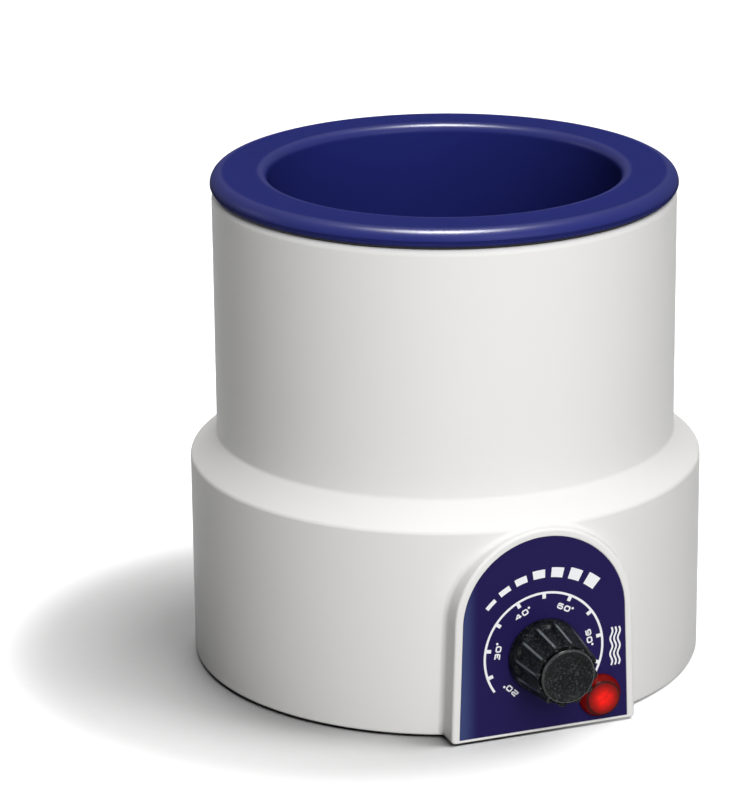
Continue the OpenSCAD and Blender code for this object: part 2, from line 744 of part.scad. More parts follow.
module base_cover() color("whitesmoke") difference() {
    union() {
        translate([0, 0, z_cover]) cylinder(h = cover_t, r = r_cover);
        translate([0, 0, z_cover]) cylinder(h = cup_rise + cover_t, r = cup_r + wall);
        for (s = [-1, 1]) translate([s * block_hole_x, block_y, z_cover])
            cylinder(h = cover_t + block_lift, r = 3.4);
    }
    translate([0, 0, z_cover - eps]) cylinder(h = cup_rise + eps, r = cup_r);
    cylinder(h = z_pot, r = tie_r + apart);
    for (s = [-1, 1]) translate([s * block_hole_x, block_y, z_cover + 1.2])
        cylinder(h = 20, r = 1.5);
    translate([0, 0, z_cover - eps]) difference() {
        cylinder(h = foot_pocket + eps, r = foot_r + foot_w + slip);
        translate([0, 0, -eps]) cylinder(h = foot_pocket + 3 * eps, r = foot_r - slip);
    }
    for (a = screw_angles) rotate(a) {
        translate([screw_r, 0, z_cover - eps]) {
            cylinder(h = cover_t + 2 * eps, r = base_screw_shank + apart);
            cylinder(h = head_pocket + eps, r = head_r + apart);
        }
    }
    for (s = [-1, 1], k = [-3:3]) translate([s * 34, k * 7, 0]) vent_slot(20);
}

module base_screws() color("silver") for (a = screw_angles) rotate(a) translate([screw_r, 0, 0]) {
    translate([0, 0, z_cover + head_pocket - head_t]) cylinder(h = head_t, r = head_r);
    translate([0, 0, z_cover + head_pocket]) cylinder(h = 16, r = base_screw_shank - run);
}

module foot_ring() color("dimgray") difference() {
    cylinder(h = z_cover + foot_pocket, r = foot_r + foot_w);
    translate([0, 0, -eps]) cylinder(h = z_cover + foot_pocket + 2 * eps, r = foot_r);
}

module terminal_block() color("ivory") difference() {
    translate([-block_size[0] / 2, block_y - block_size[1] / 2, z_block]) cube(block_size);
    for (k = [-1:1]) {
        translate([k * pole_pitch, 0, pole_z]) y_rod(insert_r + run, 0, r_low);
        for (s = [-1, 1]) translate([k * pole_pitch, block_y + s * screw_place, pole_z])
            cylinder(h = 20, r = 2.2);
    }
    for (s = [-1, 1]) translate([s * block_hole_x, block_y, z_block - eps])
        cylinder(h = 20, r = 1.5 + apart);
}

// The brass tubes that the wires end in, one to each pole
module terminal_inserts() color("goldenrod") for (k = [-1:1]) difference() {
    translate([k * pole_pitch, 0, pole_z])
        y_rod(insert_r, block_y - block_size[1] / 2 + 1.5, block_y + block_size[1] / 2 - 1.5);
    translate([k * pole_pitch, 0, pole_z]) y_rod(pole_r, 0, r_low);
    for (s = [-1, 1]) translate([k * pole_pitch, block_y + s * screw_place, pole_z])
        cylinder(h = 20, r = 2.1 + run);
}

module terminal_screws() color("silver") for (k = [-1:1], s = [-1, 1])
    translate([k * pole_pitch, block_y + s * screw_place, pole_z + 0.35]) difference() {
        cylinder(h = block_size[2] - 6.4, r = 2.1);
        translate([-3, -0.4, block_size[2] - 7.2]) cube([6, 0.8, 2]);
    }

module block_screws() color("silver") for (s = [-1, 1])
    translate([s * block_hole_x, block_y, z_block + block_size[2]]) {
        cylinder(h = 1.8, r = 2.9);
        translate([0, 0, -block_size[2] - block_lift]) cylinder(
            h = block_size[2] + block_lift, r = 1.5 - run);
    }

module cord_gland() color("black") translate([0, 0, z_base + cord_z]) difference() {
    union() {
        y_rod(gland_d / 2, gland_seat_y, gland_seat_y + 2.4);
        y_rod(gland_neck, r_low - wall - 3, gland_seat_y);
        y_rod(gland_neck + 1, r_low - wall - 3, r_low - wall - 0.9);
    }
    y_rod(cord_bore_d / 2, 0, r_low + 10);
}

// ---- capillary and wires -------------------------------------------------------------------

function unit(v) = v / norm(v);

// A point on the smooth curve through four control points, between the middle two
function curve_at(a, b, c, d, t) = 0.5 * (2 * b + (c - a) * t
    + (2 * a - 5 * b + 4 * c - d) * t * t + (3 * b - a - 3 * c + d) * t * t * t);

// The smooth curve through all the points, with n steps to each stretch
function smooth(p, n) = let (last = len(p) - 1) concat(
    [for (i = [0:last - 1], k = [0:n - 1])
        curve_at(p[max(i - 1, 0)], p[i], p[i + 1], p[min(i + 2, last)], k / n)],
    [p[last]]);

// Side vectors along a path, each turned as little as possible from the one before
function side_vectors(t, found) = let (i = len(found)) i == len(t) ? found :
    let (v = found[i - 1] - (found[i - 1] * t[i]) * t[i])
    side_vectors(t, concat(found, [unit(v)]));

module tube(route, r, steps = 5, sides = 8) {
    path = smooth(route, steps);
    last = len(path) - 1;
    end = len(route) - 1;
    // the ends are square to the route's own first and last stretch
    along = [for (i = [0:last]) unit(i == 0 ? route[1] - route[0]
        : i == last ? route[end] - route[end - 1] : path[i + 1] - path[i - 1])];
    first_side = unit(cross(along[0], abs(along[0][2]) < 0.8 ? [0, 0, 1] : [1, 0, 0]));
    side = side_vectors(along, [first_side]);
    points = [for (i = [0:last], k = [0:sides - 1]) let (a = 360 * k / sides)
        path[i] + r * (cos(a) * side[i] + sin(a) * cross(along[i], side[i]))];
    function at(i, k) = i * sides + k % sides;
    skin = [for (i = [0:last - 1], k = [0:sides - 1], half = [0, 1]) half == 0
        ? [at(i, k), at(i + 1, k), at(i + 1, k + 1)] : [at(i, k), at(i + 1, k + 1), at(i, k + 1)]];
    ends = [[for (k = [0:sides - 1]) at(0, k)], [for (k = [sides - 1:-1:0]) at(last, k)]];
    polyhedron(points = points, faces = concat(skin, ends));
}

capillary_r = 0.75;
wire_r = 1.1;
lamp_wire_r = 0.8;
end_gap = 0.1;
capillary_h = h_capsule - drive_l - capsule_t / 2;
capillary_y = -face_y - capillary_h;
sleeve_y = -face_y - h_cover + tab_l + sleeve_past + end_gap;
pilot_sleeve_y = -face_y - h_pilot_end + small_tab_l + sleeve_past + end_gap;
cutout_sleeve_z = z_cutout - tab_l - sleeve_past - end_gap;
earth_sleeve_x = tag_ring + tab_l + sleeve_past + end_gap;
pole_y = block_y - block_size[1] / 2;
wire_stop_y = block_y - screw_place + 2;
low = pole_z - pole_r + wire_r + 0.25;
ring_end_z = post_z - ring_drop - end_gap;
ring_y = post_face + ring_t / 2;

// The push-on connectors of the thermostat, the lamp, the cut-out and the earth tag
module push_on_sleeves() color("ivory") {
    for (p = tab_places) on_panel(z = z_dial) translate([p[0], p[1], h_cover])
        mirror([0, 0, 1]) push_on(tab_w, tab_t, tab_l);
    for (s = [-1, 1]) on_panel(x = pilot_x, z = z_pilot)
        translate([s * pilot_tab_x, 0, h_pilot_end]) rotate(90) mirror([0, 0, 1])
            push_on(small_tab_w, tab_t, small_tab_l);
    for (s = [-1, 1]) translate([s * 4, cutout_y, z_cutout]) rotate(90) mirror([0, 0, 1])
        push_on(tab_w, tab_t, tab_l);
    translate([tag_ring, 0, z_tag + tag_t / 2]) rotate([90, 0, 90]) push_on(tab_w, tag_t, tab_l);
}

// A place in the room under the pot, as shares of the pot's radius and of the room's height
function under_pot(u, v, w) = [u * r_pot, v * r_pot, z_cover_top + w * (z_pot - z_cover_top)];

module capillary_tube() color("peru") tube([
    [bulb_l / 2 + 0.05, bulb_y, bulb_z], [bulb_l / 2 + 3, bulb_y, bulb_z],
    [bulb_l / 2 + 8, bulb_y - 4, bulb_z - 2], [bulb_l / 2 + 4, bulb_y - 20, bulb_z - 6],
    [case_w / 2 + 3, capillary_y + 12, max(z_dial + case_w / 2, bulb_z - 10) + 3],
    [5, capillary_y + 4, z_dial + case_w / 2 + 9], [0, capillary_y, z_dial + case_w / 2 + 4],
    [0, capillary_y, z_dial + case_w / 2 - 1], [0, capillary_y, z_dial + capsule_r + 0.3]],
    capillary_r, steps = 6);

module wire_live() color("saddlebrown") tube([
    [pole_pitch, wire_stop_y, low], [pole_pitch, pole_y + 2, low], [pole_pitch, pole_y - 3, low],
    under_pot(0.29, 0.16, 0.27), under_pot(0.26, -0.29, 0.43),
    [tab_places[1][0] + 2, sleeve_y + 14, z_dial + 7],
    [tab_places[1][0], sleeve_y + 5, z_dial + tab_places[1][1]],
    [tab_places[1][0], sleeve_y, z_dial + tab_places[1][1]]], wire_r);

module wire_switched() color("black") tube([
    [tab_places[0][0], sleeve_y, z_dial + tab_places[0][1]],
    [tab_places[0][0], sleeve_y + 5, z_dial + tab_places[0][1]],
    [tab_places[0][0] - 3, sleeve_y + 18, z_dial + 6], under_pot(-0.28, -0.23, 0.46),
    under_pot(-0.23, 0.16, 0.39), under_pot(-0.13, 0.36, 0.39),
    [-4, cutout_y, cutout_sleeve_z - 4], [-4, cutout_y, cutout_sleeve_z]], wire_r);

module wire_heater() color("black") tube([
    [4, cutout_y, cutout_sleeve_z], [4, cutout_y, cutout_sleeve_z - 4],
    under_pot(0.13, 0.57, 0.47), under_pot(0.25, 0.77, 0.49), under_pot(0.33, 0.95, 0.65),
    under_pot(0.3, 1.06, 0.9), [post_x, ring_y, ring_end_z - 6], [post_x, ring_y, ring_end_z]],
    wire_r);

module wire_neutral() color("royalblue") tube([
    [-pole_pitch - 0.95, wire_stop_y, low + 0.2], [-pole_pitch - 0.95, pole_y + 2, low + 0.2],
    [-pole_pitch - 1.2, pole_y - 3, low + 0.3], under_pot(-0.31, 0.46, 0.21),
    under_pot(-0.46, 0.59, 0.32), under_pot(-0.47, 0.84, 0.52), under_pot(-0.34, 1.03, 0.82),
    [-post_x, ring_y, ring_end_z - 6], [-post_x, ring_y, ring_end_z]], wire_r);

module wire_lamp_live() color("gray") tube([
    [tab_places[2][0], sleeve_y, z_dial + tab_places[2][1]],
    [tab_places[2][0], sleeve_y + 4, z_dial + tab_places[2][1]],
    [tab_places[2][0] + 4, sleeve_y + 8, z_dial + tab_places[2][1] - 1],
    [pilot_x - pilot_tab_x - 5, sleeve_y + 4, z_pilot + 1.5],
    [pilot_x - pilot_tab_x, pilot_sleeve_y + 4, z_pilot],
    [pilot_x - pilot_tab_x, pilot_sleeve_y, z_pilot]], lamp_wire_r);

module wire_lamp_neutral() color("royalblue") tube([
    [-pole_pitch + 1.2, wire_stop_y, low + 0.1], [-pole_pitch + 1.2, pole_y + 2, low + 0.1],
    [-pole_pitch + 1.6, pole_y - 3, low - 0.1], [-pole_pitch + 1, pole_y - 12, low - 3],
    [-cup_r - 7, 9, z_cover_top + 3.6], [-cup_r - 5, -16, z_cover_top + 3.2],
    [-2, -cup_r - 18, z_cover_top + 3.2], [14, -cup_r - 28, z_cover_top + 4.2],
    [pilot_x + pilot_tab_x, pilot_sleeve_y + 5, z_pilot],
    [pilot_x + pilot_tab_x, pilot_sleeve_y, z_pilot]], lamp_wire_r);

module wire_earth() color("yellowgreen") tube([
    [0, wire_stop_y, low], [0, pole_y + 2, low], [0, pole_y - 3, low],
    under_pot(0.07, 0.42, 0.23), under_pot(0.23, 0.26, 0.39), under_pot(0.41, 0.11, 0.63),
    [earth_sleeve_x + 9, 1, z_tag - 4], [earth_sleeve_x + 4, 0, z_tag + tag_t / 2],
    [earth_sleeve_x, 0, z_tag + tag_t / 2]], wire_r);

housing();
pot();
seal_ring();
control_label();
knob();
spindle();
spindle_bush();
thermostat_plate();
thermostat_case();
thermostat_cover();
thermostat_capsule();
contact_blade();
fixed_contact();
thermostat_tabs();
thermostat_screws();
capillary_tube();
sensing_bulb();
bulb_clips();
pilot_lens();
neon_bulb();
pilot_body();
pilot_collar();
pilot_tabs();
heater_band();
band_clamp_bolt();
band_clamp_nut();
heater_terminals();
ring_terminals();
heater_nuts();
insulation_sleeve();
thermal_cutout();
cutout_studs();
cutout_nuts();
tie_rod();
earth_tag();
tie_washer();
tie_nuts();
terminal_block();
terminal_inserts();
terminal_screws();
block_screws();
push_on_sleeves();
base_cover();
base_screws();
foot_ring();
cord_gland();
wire_live();
wire_switched();
wire_heater();
wire_neutral();
wire_lamp_live();
wire_lamp_neutral();
wire_earth();
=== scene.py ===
import math
import bmesh
import bpy
import numpy as np
from mathutils import Matrix, Vector


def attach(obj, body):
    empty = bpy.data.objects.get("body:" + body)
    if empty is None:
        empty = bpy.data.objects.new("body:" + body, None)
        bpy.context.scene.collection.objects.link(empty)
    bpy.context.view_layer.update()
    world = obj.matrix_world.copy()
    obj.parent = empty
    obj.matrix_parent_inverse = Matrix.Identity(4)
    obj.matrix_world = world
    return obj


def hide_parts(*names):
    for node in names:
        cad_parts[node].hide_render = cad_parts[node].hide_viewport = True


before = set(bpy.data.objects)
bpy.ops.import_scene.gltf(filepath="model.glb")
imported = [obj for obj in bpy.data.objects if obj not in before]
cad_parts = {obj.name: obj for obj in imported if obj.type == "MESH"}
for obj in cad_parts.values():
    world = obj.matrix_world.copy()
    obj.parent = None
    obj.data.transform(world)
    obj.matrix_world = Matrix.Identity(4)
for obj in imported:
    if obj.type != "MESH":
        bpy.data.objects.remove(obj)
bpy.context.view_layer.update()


# ---- Housing -------------------------------------------------------------------------------------
# One injection moulding in white ABS: a wide lower body, a sloping shoulder, a narrower upper
# body with a turned-in deck, and a flat arched boss that carries the control label.
MM = 0.001  # the sizes are in mm, and the meshes in metres
shell_wall = 2.5
base_z, shoulder_z, neck_z, deck_z = 0.7, 71.8, 80.0, 164.2
lower_r, upper_r, deck_r = 88.0, 78.8, 62.7
# the boss: a flat face, two sides that lean in, a half circle over them, a raised border
face_y, boss_front, boss_middle_z = 90.4, 3.0, 36.0
panel_half, panel_corner = 32.7, 1.2
arch_z, arch_r = 40.5, 31.4
border_side, border_foot, recess = 2.7, 1.0, 0.5
blend_most = 1.6
# the hole for the cord's bush, at the back, and the posts that take the base screws
cord_z, cord_hole_r = 17.2, 4.8
post_ring_r, post_r, post_bore_r, post_low, post_high = 77.0, 4.2, 1.6, 3.8, 33.8


def linear(code):
    """sRGB hex to linear light: a value near black is divided by 12.92; any other has 0.055
    added, is divided by 1.055 and is raised to the power 2.4."""
    parts = [int(code[i:i + 2], 16) / 255 for i in (1, 3, 5)]
    return [c / 12.92 if c < 0.04045 else ((c + 0.055) / 1.055) ** 2.4 for c in parts] + [1.0]


def add(tree, kind, sockets=None, **settings):
    """Adds one node: settings are its own properties, sockets are its inputs by name or number,
    each a number or colour, or another node's output to link."""
    node = tree.nodes.new(kind)
    for key, value in settings.items():
        setattr(node, key, value)
    for key, value in (sockets or {}).items():
        if isinstance(value, bpy.types.NodeSocket):
            tree.links.new(value, node.inputs[key])
        else:
            node.inputs[key].default_value = value
    return node


def blank(name):
    """A new material with an empty node tree, and the place on the piece that its patterns read."""
    material = bpy.data.materials.new(name)
    material.use_nodes = True
    material.node_tree.nodes.clear()
    place = add(material.node_tree, "ShaderNodeTexCoord").outputs["Object"]
    return material, material.node_tree, place


def finish(name, code, rough, grain, depth, drift=0.04, spread=40, **shader):
    """A finish whose colour drifts by the share drift over patches spread mm wide, while a grain
    of grain mm, depth mm deep, breaks up its gloss by 15 parts in 100 either way. shader holds
    the rest of the shader's sockets, with _ for each space."""
    material, tree, place = blank(name)
    wide = add(tree, "ShaderNodeTexNoise", {"Vector": place, "Scale": 1 / (spread * MM),
        "Detail": 3.0})
    darker, lighter = ([c * (1 + way * drift) for c in linear(code)[:3]] + [1] for way in (-1, 1))
    tint = add(tree, "ShaderNodeMix", {0: wide.outputs[0], 6: darker, 7: lighter},
        data_type="RGBA")
    fine = add(tree, "ShaderNodeTexNoise", {"Vector": place, "Scale": 1 / (grain * MM),
        "Detail": 2.0})
    relief = add(tree, "ShaderNodeBump", {"Height": fine.outputs[0], "Distance": depth * MM})
    gloss = add(tree, "ShaderNodeMapRange", {"Value": fine.outputs[0], "From Min": 0.3,
        "From Max": 0.7, "To Min": rough * 0.85, "To Max": rough * 1.15})
    skin = add(tree, "ShaderNodeBsdfPrincipled", {"Base Color": tint.outputs[2],
        "Roughness": gloss.outputs[0], "Normal": relief.outputs[0]})
    for socket, value in shader.items():
        skin.inputs[socket.replace("_", " ")].default_value = value
    add(tree, "ShaderNodeOutputMaterial", {"Surface": skin.outputs[0]})
    return material


def rounded(corners, steps=8, hold=0.3, closed=True):
    """A path through corners (x, y, radius) with each one rounded: its arc starts before the
    corner by the radius times the tangent of half the turn, and one more point, hold further
    out, keeps the flat on each side of it flat."""
    corners = np.array(corners, float)
    path = []
    for i, (x, y, r) in enumerate(corners):
        here = np.array([x, y])
        if r == 0 or (not closed and i in (0, len(corners) - 1)):
            path.append(here[None])
            continue
        back = corners[i - 1, :2] - here
        ahead = corners[(i + 1) % len(corners), :2] - here
        back, ahead = back / np.linalg.norm(back), ahead / np.linalg.norm(ahead)
        half = math.acos(np.clip(back @ ahead, -1, 1)) / 2
        turn = math.pi - 2 * half
        reach = r / math.tan(half)
        middle = here + (back + ahead) / np.linalg.norm(back + ahead) * r / math.sin(half)
        share = np.linspace(0, 1, steps + 1)[:, None] * turn
        first, last = here + back * reach - middle, here + ahead * reach - middle
        arc = middle + (np.sin(turn - share) * first + np.sin(share) * last) / math.sin(turn)
        path += [(here + back * (reach + hold))[None], arc, (here + ahead * (reach + hold))[None]]
    return np.concatenate(path + path[:1] if closed else path)


def finer(path, step, below):
    """Adds points so that none of the path under the height below is longer than step between
    two of them."""
    along = np.concatenate([[0], np.cumsum(np.linalg.norm(np.diff(path, axis=0), axis=1))])
    extra = np.arange(0, along[-1], step)
    extra = extra[np.interp(extra, along, path[:, 1]) < below]
    full = np.unique(np.concatenate([along, extra]))
    return np.stack([np.interp(full, along, path[:, 0]), np.interp(full, along, path[:, 1])], -1)


def lathe(profile, columns=192, angles=None):
    """Carries a profile of (radius, height), anticlockwise round its material, about an upright
    axis: at each angle a point goes to its radius times the angle's cosine, its radius times the
    angle's sine, and its own height."""
    a = np.radians(np.linspace(0, 360, columns + 1) if angles is None else angles)
    r, h = profile[:, :1], profile[:, 1:]
    return np.stack([r * np.cos(a), r * np.sin(a), np.broadcast_to(h, (len(r), len(a)))], -1)


def surface(name, grids, material, sharp=40):
    """One mesh from grids of points (rows, columns, 3) in mm. Four neighbours make a face that
    fronts along the cross product of the way along its row and the way to the next row. A cell
    with a missing point is left open."""
    grids = [np.asarray(g, float) for g in grids]
    points = np.concatenate([g.reshape(-1, 3) for g in grids])
    cells, start = [], 0
    for g in grids:
        at = start + np.arange(g.shape[0] * g.shape[1]).reshape(g.shape[:2])
        corners = [at[:-1, :-1], at[:-1, 1:], at[1:, 1:], at[1:, :-1]]
        cells.append(np.stack(corners, -1).reshape(-1, 4))
        start += at.size
    cells = np.concatenate(cells)
    cells = cells[np.isfinite(points[cells]).all((1, 2))]
    used, cells = np.unique(cells, return_inverse=True)
    mesh = bpy.data.meshes.new(name)
    mesh.from_pydata((points[used] * MM).tolist(), [], cells.reshape(-1, 4).tolist())
    work = bmesh.new()
    work.from_mesh(mesh)
    bmesh.ops.remove_doubles(work, verts=work.verts, dist=2e-6)
    bmesh.ops.dissolve_degenerate(work, edges=work.edges, dist=1e-6)
    work.to_mesh(mesh)
    work.free()
    mesh.shade_smooth()
    mesh.set_sharp_from_angle(angle=math.radians(sharp))
    mesh.materials.append(material)
    piece = bpy.data.objects.new(name, mesh)
    bpy.context.scene.collection.objects.link(piece)
    return piece


def settle(piece, body, slot, *replaced):
    """Hands the piece to its body, in the place of the solids that it stands for, which are hidden;
    slot is not used.
    """
    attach(piece, body)
    if replaced:
        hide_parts(*replaced)


def panel_edge(inset, foot, corner=panel_corner):
    """The boss's outline (x, z), anticlockwise from the middle of its foot: two straight sides
    that lean in, and a half circle, all moved in by inset, and the foot moved up by foot."""
    half, top, low = panel_half - inset, arch_r - inset, base_z + foot
    across = np.linspace(0, half - corner, 24)
    bend = np.radians(np.linspace(-90, 0, 7))[1:]
    up = np.linspace(0, 1, 12)[1:]
    arch = np.radians(np.linspace(0, 90, 40))[1:]
    right = np.concatenate([
        np.stack([across, np.full(len(across), low)], -1),
        np.stack([half - corner + corner * np.cos(bend), low + corner + corner * np.sin(bend)], -1),
        np.stack([half + (top - half) * up, low + corner + (arch_z - low - corner) * up], -1),
        np.stack([top * np.cos(arch), arch_z + top * np.sin(arch)], -1)])
    return np.concatenate([right, right[-2::-1] * [-1, 1]])


def in_panel(x, z, inset, foot_z):
    """True within the boss's outline moved in by inset, above foot_z."""
    half = np.where(z < arch_z,
        panel_half + (arch_r - panel_half) * (z - base_z) / (arch_z - base_z),
        np.sqrt(np.maximum(arch_r ** 2 - (z - arch_z) ** 2, 0)))
    return (np.abs(x) < half - inset) & (z > foot_z) & (z < arch_z + arch_r - inset)


# moulded ABS: a satin, faintly grained skin that drifts a little in tone over the walls
white_abs = finish("moulded white ABS", "#e7e6e4", 0.4, 0.5, 0.006, drift=0.012, spread=60,
    IOR=1.5, Specular_IOR_Level=0.25)

outer = rounded([(lower_r - shell_wall, base_z, 0), (lower_r, base_z, 0.8),
    (lower_r, shoulder_z, 2), (upper_r, neck_z, 1.6), (upper_r, deck_z, 2), (deck_r, deck_z, 0)],
    closed=False)
inner = rounded([(deck_r, deck_z - shell_wall, 0), (upper_r - shell_wall, deck_z - shell_wall, 0.8),
    (upper_r - shell_wall, neck_z - shell_wall / 2, 1),
    (lower_r - shell_wall, shoulder_z - shell_wall / 2, 1), (lower_r - shell_wall, base_z, 0)],
    steps=4, closed=False)

# rows and columns stand closer together where the wall opens behind the boss and for the bush
openings_top = 73.0
round_the_body = np.unique(np.concatenate([np.linspace(-115, -65, 101), np.linspace(-65, 83, 50),
    np.linspace(83, 97, 15), np.linspace(97, 245, 50)]))
outer_skin = lathe(finer(outer, 1.0, openings_top), angles=round_the_body)
inner_skin = lathe(finer(inner, 1.0, openings_top), angles=round_the_body)
for skin, inset, foot_z in ((outer_skin, 1.6, 3.5), (inner_skin, 3.0, 4.7)):
    x, y, z = skin[..., 0], skin[..., 1], skin[..., 2]
    skin[(y < 0) & in_panel(x, z, inset, foot_z)] = np.nan
    skin[(y > 0) & (np.hypot(x, z - cord_z) < cord_hole_r)] = np.nan


def outside_radius(z):
    """The shell's outer radius at height z, read along its outer profile."""
    return np.interp(z, outer[:, 1], outer[:, 0])


edge = panel_edge(0, 0)
along = np.roll(edge, -1, 0) - np.roll(edge, 1, 0)
along[0] = along[-1] = (1, 0)
out = np.stack([along[:, 1], -along[:, 0]], -1) / np.linalg.norm(along, axis=1, keepdims=True)
boss_rise = face_y - np.sqrt(outside_radius(edge[:, 1]) ** 2 - edge[:, 0] ** 2)
# a hollow quarter round runs the boss's sides into the round body; its foot has none
blend_r = np.minimum(blend_most, 0.55 * boss_rise) * np.clip(1 + out[:, 1], 0, 1)
rows = []
for turn in np.radians(np.linspace(90, 0, 9)):
    spot = edge + out * (blend_r * (1 - math.cos(turn)))[:, None]
    spot[:, 1] = np.maximum(spot[:, 1], base_z)
    body_y = np.sqrt(outside_radius(spot[:, 1]) ** 2 - spot[:, 0] ** 2)
    # the first row is sunk just below the wall
    rise = blend_r * (1 - math.sin(turn)) - (0 if rows else 0.05)
    rows.append(np.stack([spot[:, 0], -body_y - rise, spot[:, 1]], -1))
section = rounded([(0, -blend_most, 0), (0, 0, 1.0), (border_side, 0, 0.3),
    (border_side, -recess, 0)], steps=6, hold=0.2, closed=False)
for inset, height in section:
    spot = panel_edge(inset, inset * border_foot / border_side,
        corner=max(panel_corner - inset / 2, 0.2))
    rows.append(np.stack([spot[:, 0], np.full(len(spot), -face_y - height), spot[:, 1]], -1))
middle = np.broadcast_to([0, -face_y + recess, boss_middle_z], rows[-1].shape)
boss = np.stack(rows + [middle])

# behind the boss's front is a pocket that opens into the body
spot = panel_edge(shell_wall, 3.6, corner=0.4)
front = np.stack([spot[:, 0], np.full(len(spot), boss_front - face_y), spot[:, 1]], -1)
back = front.copy()
back[:, 1] = -np.sqrt((lower_r - shell_wall) ** 2 - spot[:, 0] ** 2)
middle = np.broadcast_to([0, boss_front - face_y, boss_middle_z], front.shape)
pocket = np.stack([middle, front, back])

posts = []
post = lathe(np.array([(post_bore_r, post_low), (post_r, post_low), (post_r, post_high),
    (0, post_high)]), 24)
for a in np.radians([45, 135, 225, 315]):
    posts.append(post + [post_ring_r * math.cos(a), post_ring_r * math.sin(a), 0])
housing = surface("housing_moulding", [outer_skin, inner_skin, boss, pocket] + posts, white_abs,
    sharp=50)
settle(housing, "body", "housing_white", "housing")


# ---- Base cover, its screws and the foot ring ----------------------------------------------------
# A slotted disc moulded in the same ABS closes the housing from below; four zinc-plated screws
# hold it, and a ring of grey rubber is pressed into its groove and carries the warmer.
def dress(material, *names):
    """Gives one finish to solids of the frame whose own shape is shown."""
    for name in names:
        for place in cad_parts[name].material_slots:
            place.material = material


# the same plastic off a plainer mould: a little yellower and duller than the housing
base_abs = finish("moulded white ABS, base", "#dddcd8", 0.45, 0.7, 0.012, drift=0.02, IOR=1.53)
# soft rubber: matt, with a fine pitted skin
grey_rubber = finish("moulded grey rubber", "#6f7072", 0.75, 0.35, 0.02, drift=0.06, spread=12,
    IOR=1.5)
# zinc plating: cool grey, slightly patchy, with the fine turning marks of cheap hardware
zinc = finish("zinc-plated steel", "#b9bcc0", 0.32, 0.25, 0.004, drift=0.08, spread=6,
    Metallic=1.0)
dress(base_abs, "base_cover")
dress(grey_rubber, "foot_ring")
dress(zinc, "base_screws", "block_screws")


# ---- Cord bush -----------------------------------------------------------------------------------
# A black rubber bush with a round flange, snapped into the hole low at the back for the cord.
bush_bore_r, bush_neck_r, flange_r = 3.3, 6.0, 8.5
bush_in_y, flange_y, bush_out_y = 82.5, 87.5, 89.9

# black rubber: nearly matt, with patches a little greyer than the rest
black_rubber = finish("moulded black rubber", "#1d1d1f", 0.6, 0.4, 0.02, drift=0.1, spread=10,
    IOR=1.5)
bush = lathe(rounded([(bush_bore_r, bush_in_y, 0.3), (bush_neck_r, bush_in_y, 0.6),
    (bush_neck_r, flange_y, 0.3), (flange_r, flange_y, 0.2), (flange_r, bush_out_y, 1.1),
    (bush_bore_r, bush_out_y, 0.5)], steps=5, hold=0.1), 64)
bush = np.stack([-bush[..., 0], bush[..., 2], bush[..., 1] + cord_z], -1)
settle(surface("cord_bush", [bush], black_rubber), "body", "rubber_black", "cord_gland")


# ---- Well pot ------------------------------------------------------------------------------------
# A deep-drawn aluminium pot with a broad rolled rim, enamelled dark blue inside and out.
# The wax can stands in it, and the rim sits on the housing's deck over a thin seal.
well_r, rim_r = 60.0, 79.3
floor_z, curl_z, rim_z = 61.2, 165.2, 171.2
pot_sheet, curl_w = 1.5, 5.4
# the rim's flat is dished by this much at its middle
dish = 0.5
dish_r = (well_r + 3 + rim_r - 4) / 2


def from_axis(tree, place, middle, across):
    """Metres from a straight axis through middle, which is in mm: the distance of place from
    middle, once both are multiplied by across, which is 0 along the axis and 1 square to it."""
    flat = add(tree, "ShaderNodeVectorMath", {0: place, 1: across}, operation="MULTIPLY")
    centre = [m * share * MM for m, share in zip(middle, across)]
    gap = add(tree, "ShaderNodeVectorMath", {0: flat.outputs[0], 1: centre}, operation="DISTANCE")
    return gap.outputs["Value"]


# baked enamel on aluminium: deep blue under a hard clear glaze that gives soft streaks of light
blue_enamel = finish("blue baked enamel", "#20266a", 0.5, 2.0, 0.004, drift=0.06, spread=12,
    IOR=1.5, Specular_IOR_Level=0.0, Coat_IOR=2.5, Coat_Roughness=0.32)
# the glaze is rubbed bright on the rim's two rounded edges and duller on the flat between them
tree = blue_enamel.node_tree
place = add(tree, "ShaderNodeTexCoord").outputs["Object"]
outwards = from_axis(tree, place, (0, 0, 0), (1, 1, 0))
past_lip = add(tree, "ShaderNodeMapRange", {"Value": outwards, "From Min": (well_r + 2.2) * MM,
    "From Max": (well_r + 4.0) * MM}, interpolation_type="SMOOTHSTEP")
short_of_curl = add(tree, "ShaderNodeMapRange", {"Value": outwards,
    "From Min": (rim_r - 5.0) * MM, "From Max": (rim_r - 3.2) * MM, "To Min": 1.0, "To Max": 0.0},
    interpolation_type="SMOOTHSTEP")
flat_share = add(tree, "ShaderNodeMath", {0: past_lip.outputs[0], 1: short_of_curl.outputs[0]},
    operation="MULTIPLY")
here = add(tree, "ShaderNodeSeparateXYZ", {"Vector": place})
edges = add(tree, "ShaderNodeMapRange", {"Value": here.outputs["Z"], "From Min": (rim_z - 4) * MM,
    "From Max": (rim_z - 2) * MM, "To Min": 0.06, "To Max": 0.1})
glaze = add(tree, "ShaderNodeMapRange", {"Value": flat_share.outputs[0],
    "To Min": edges.outputs[0], "To Max": 0.02})
tree.links.new(glaze.outputs[0], tree.nodes["Principled BSDF"].inputs["Coat Weight"])

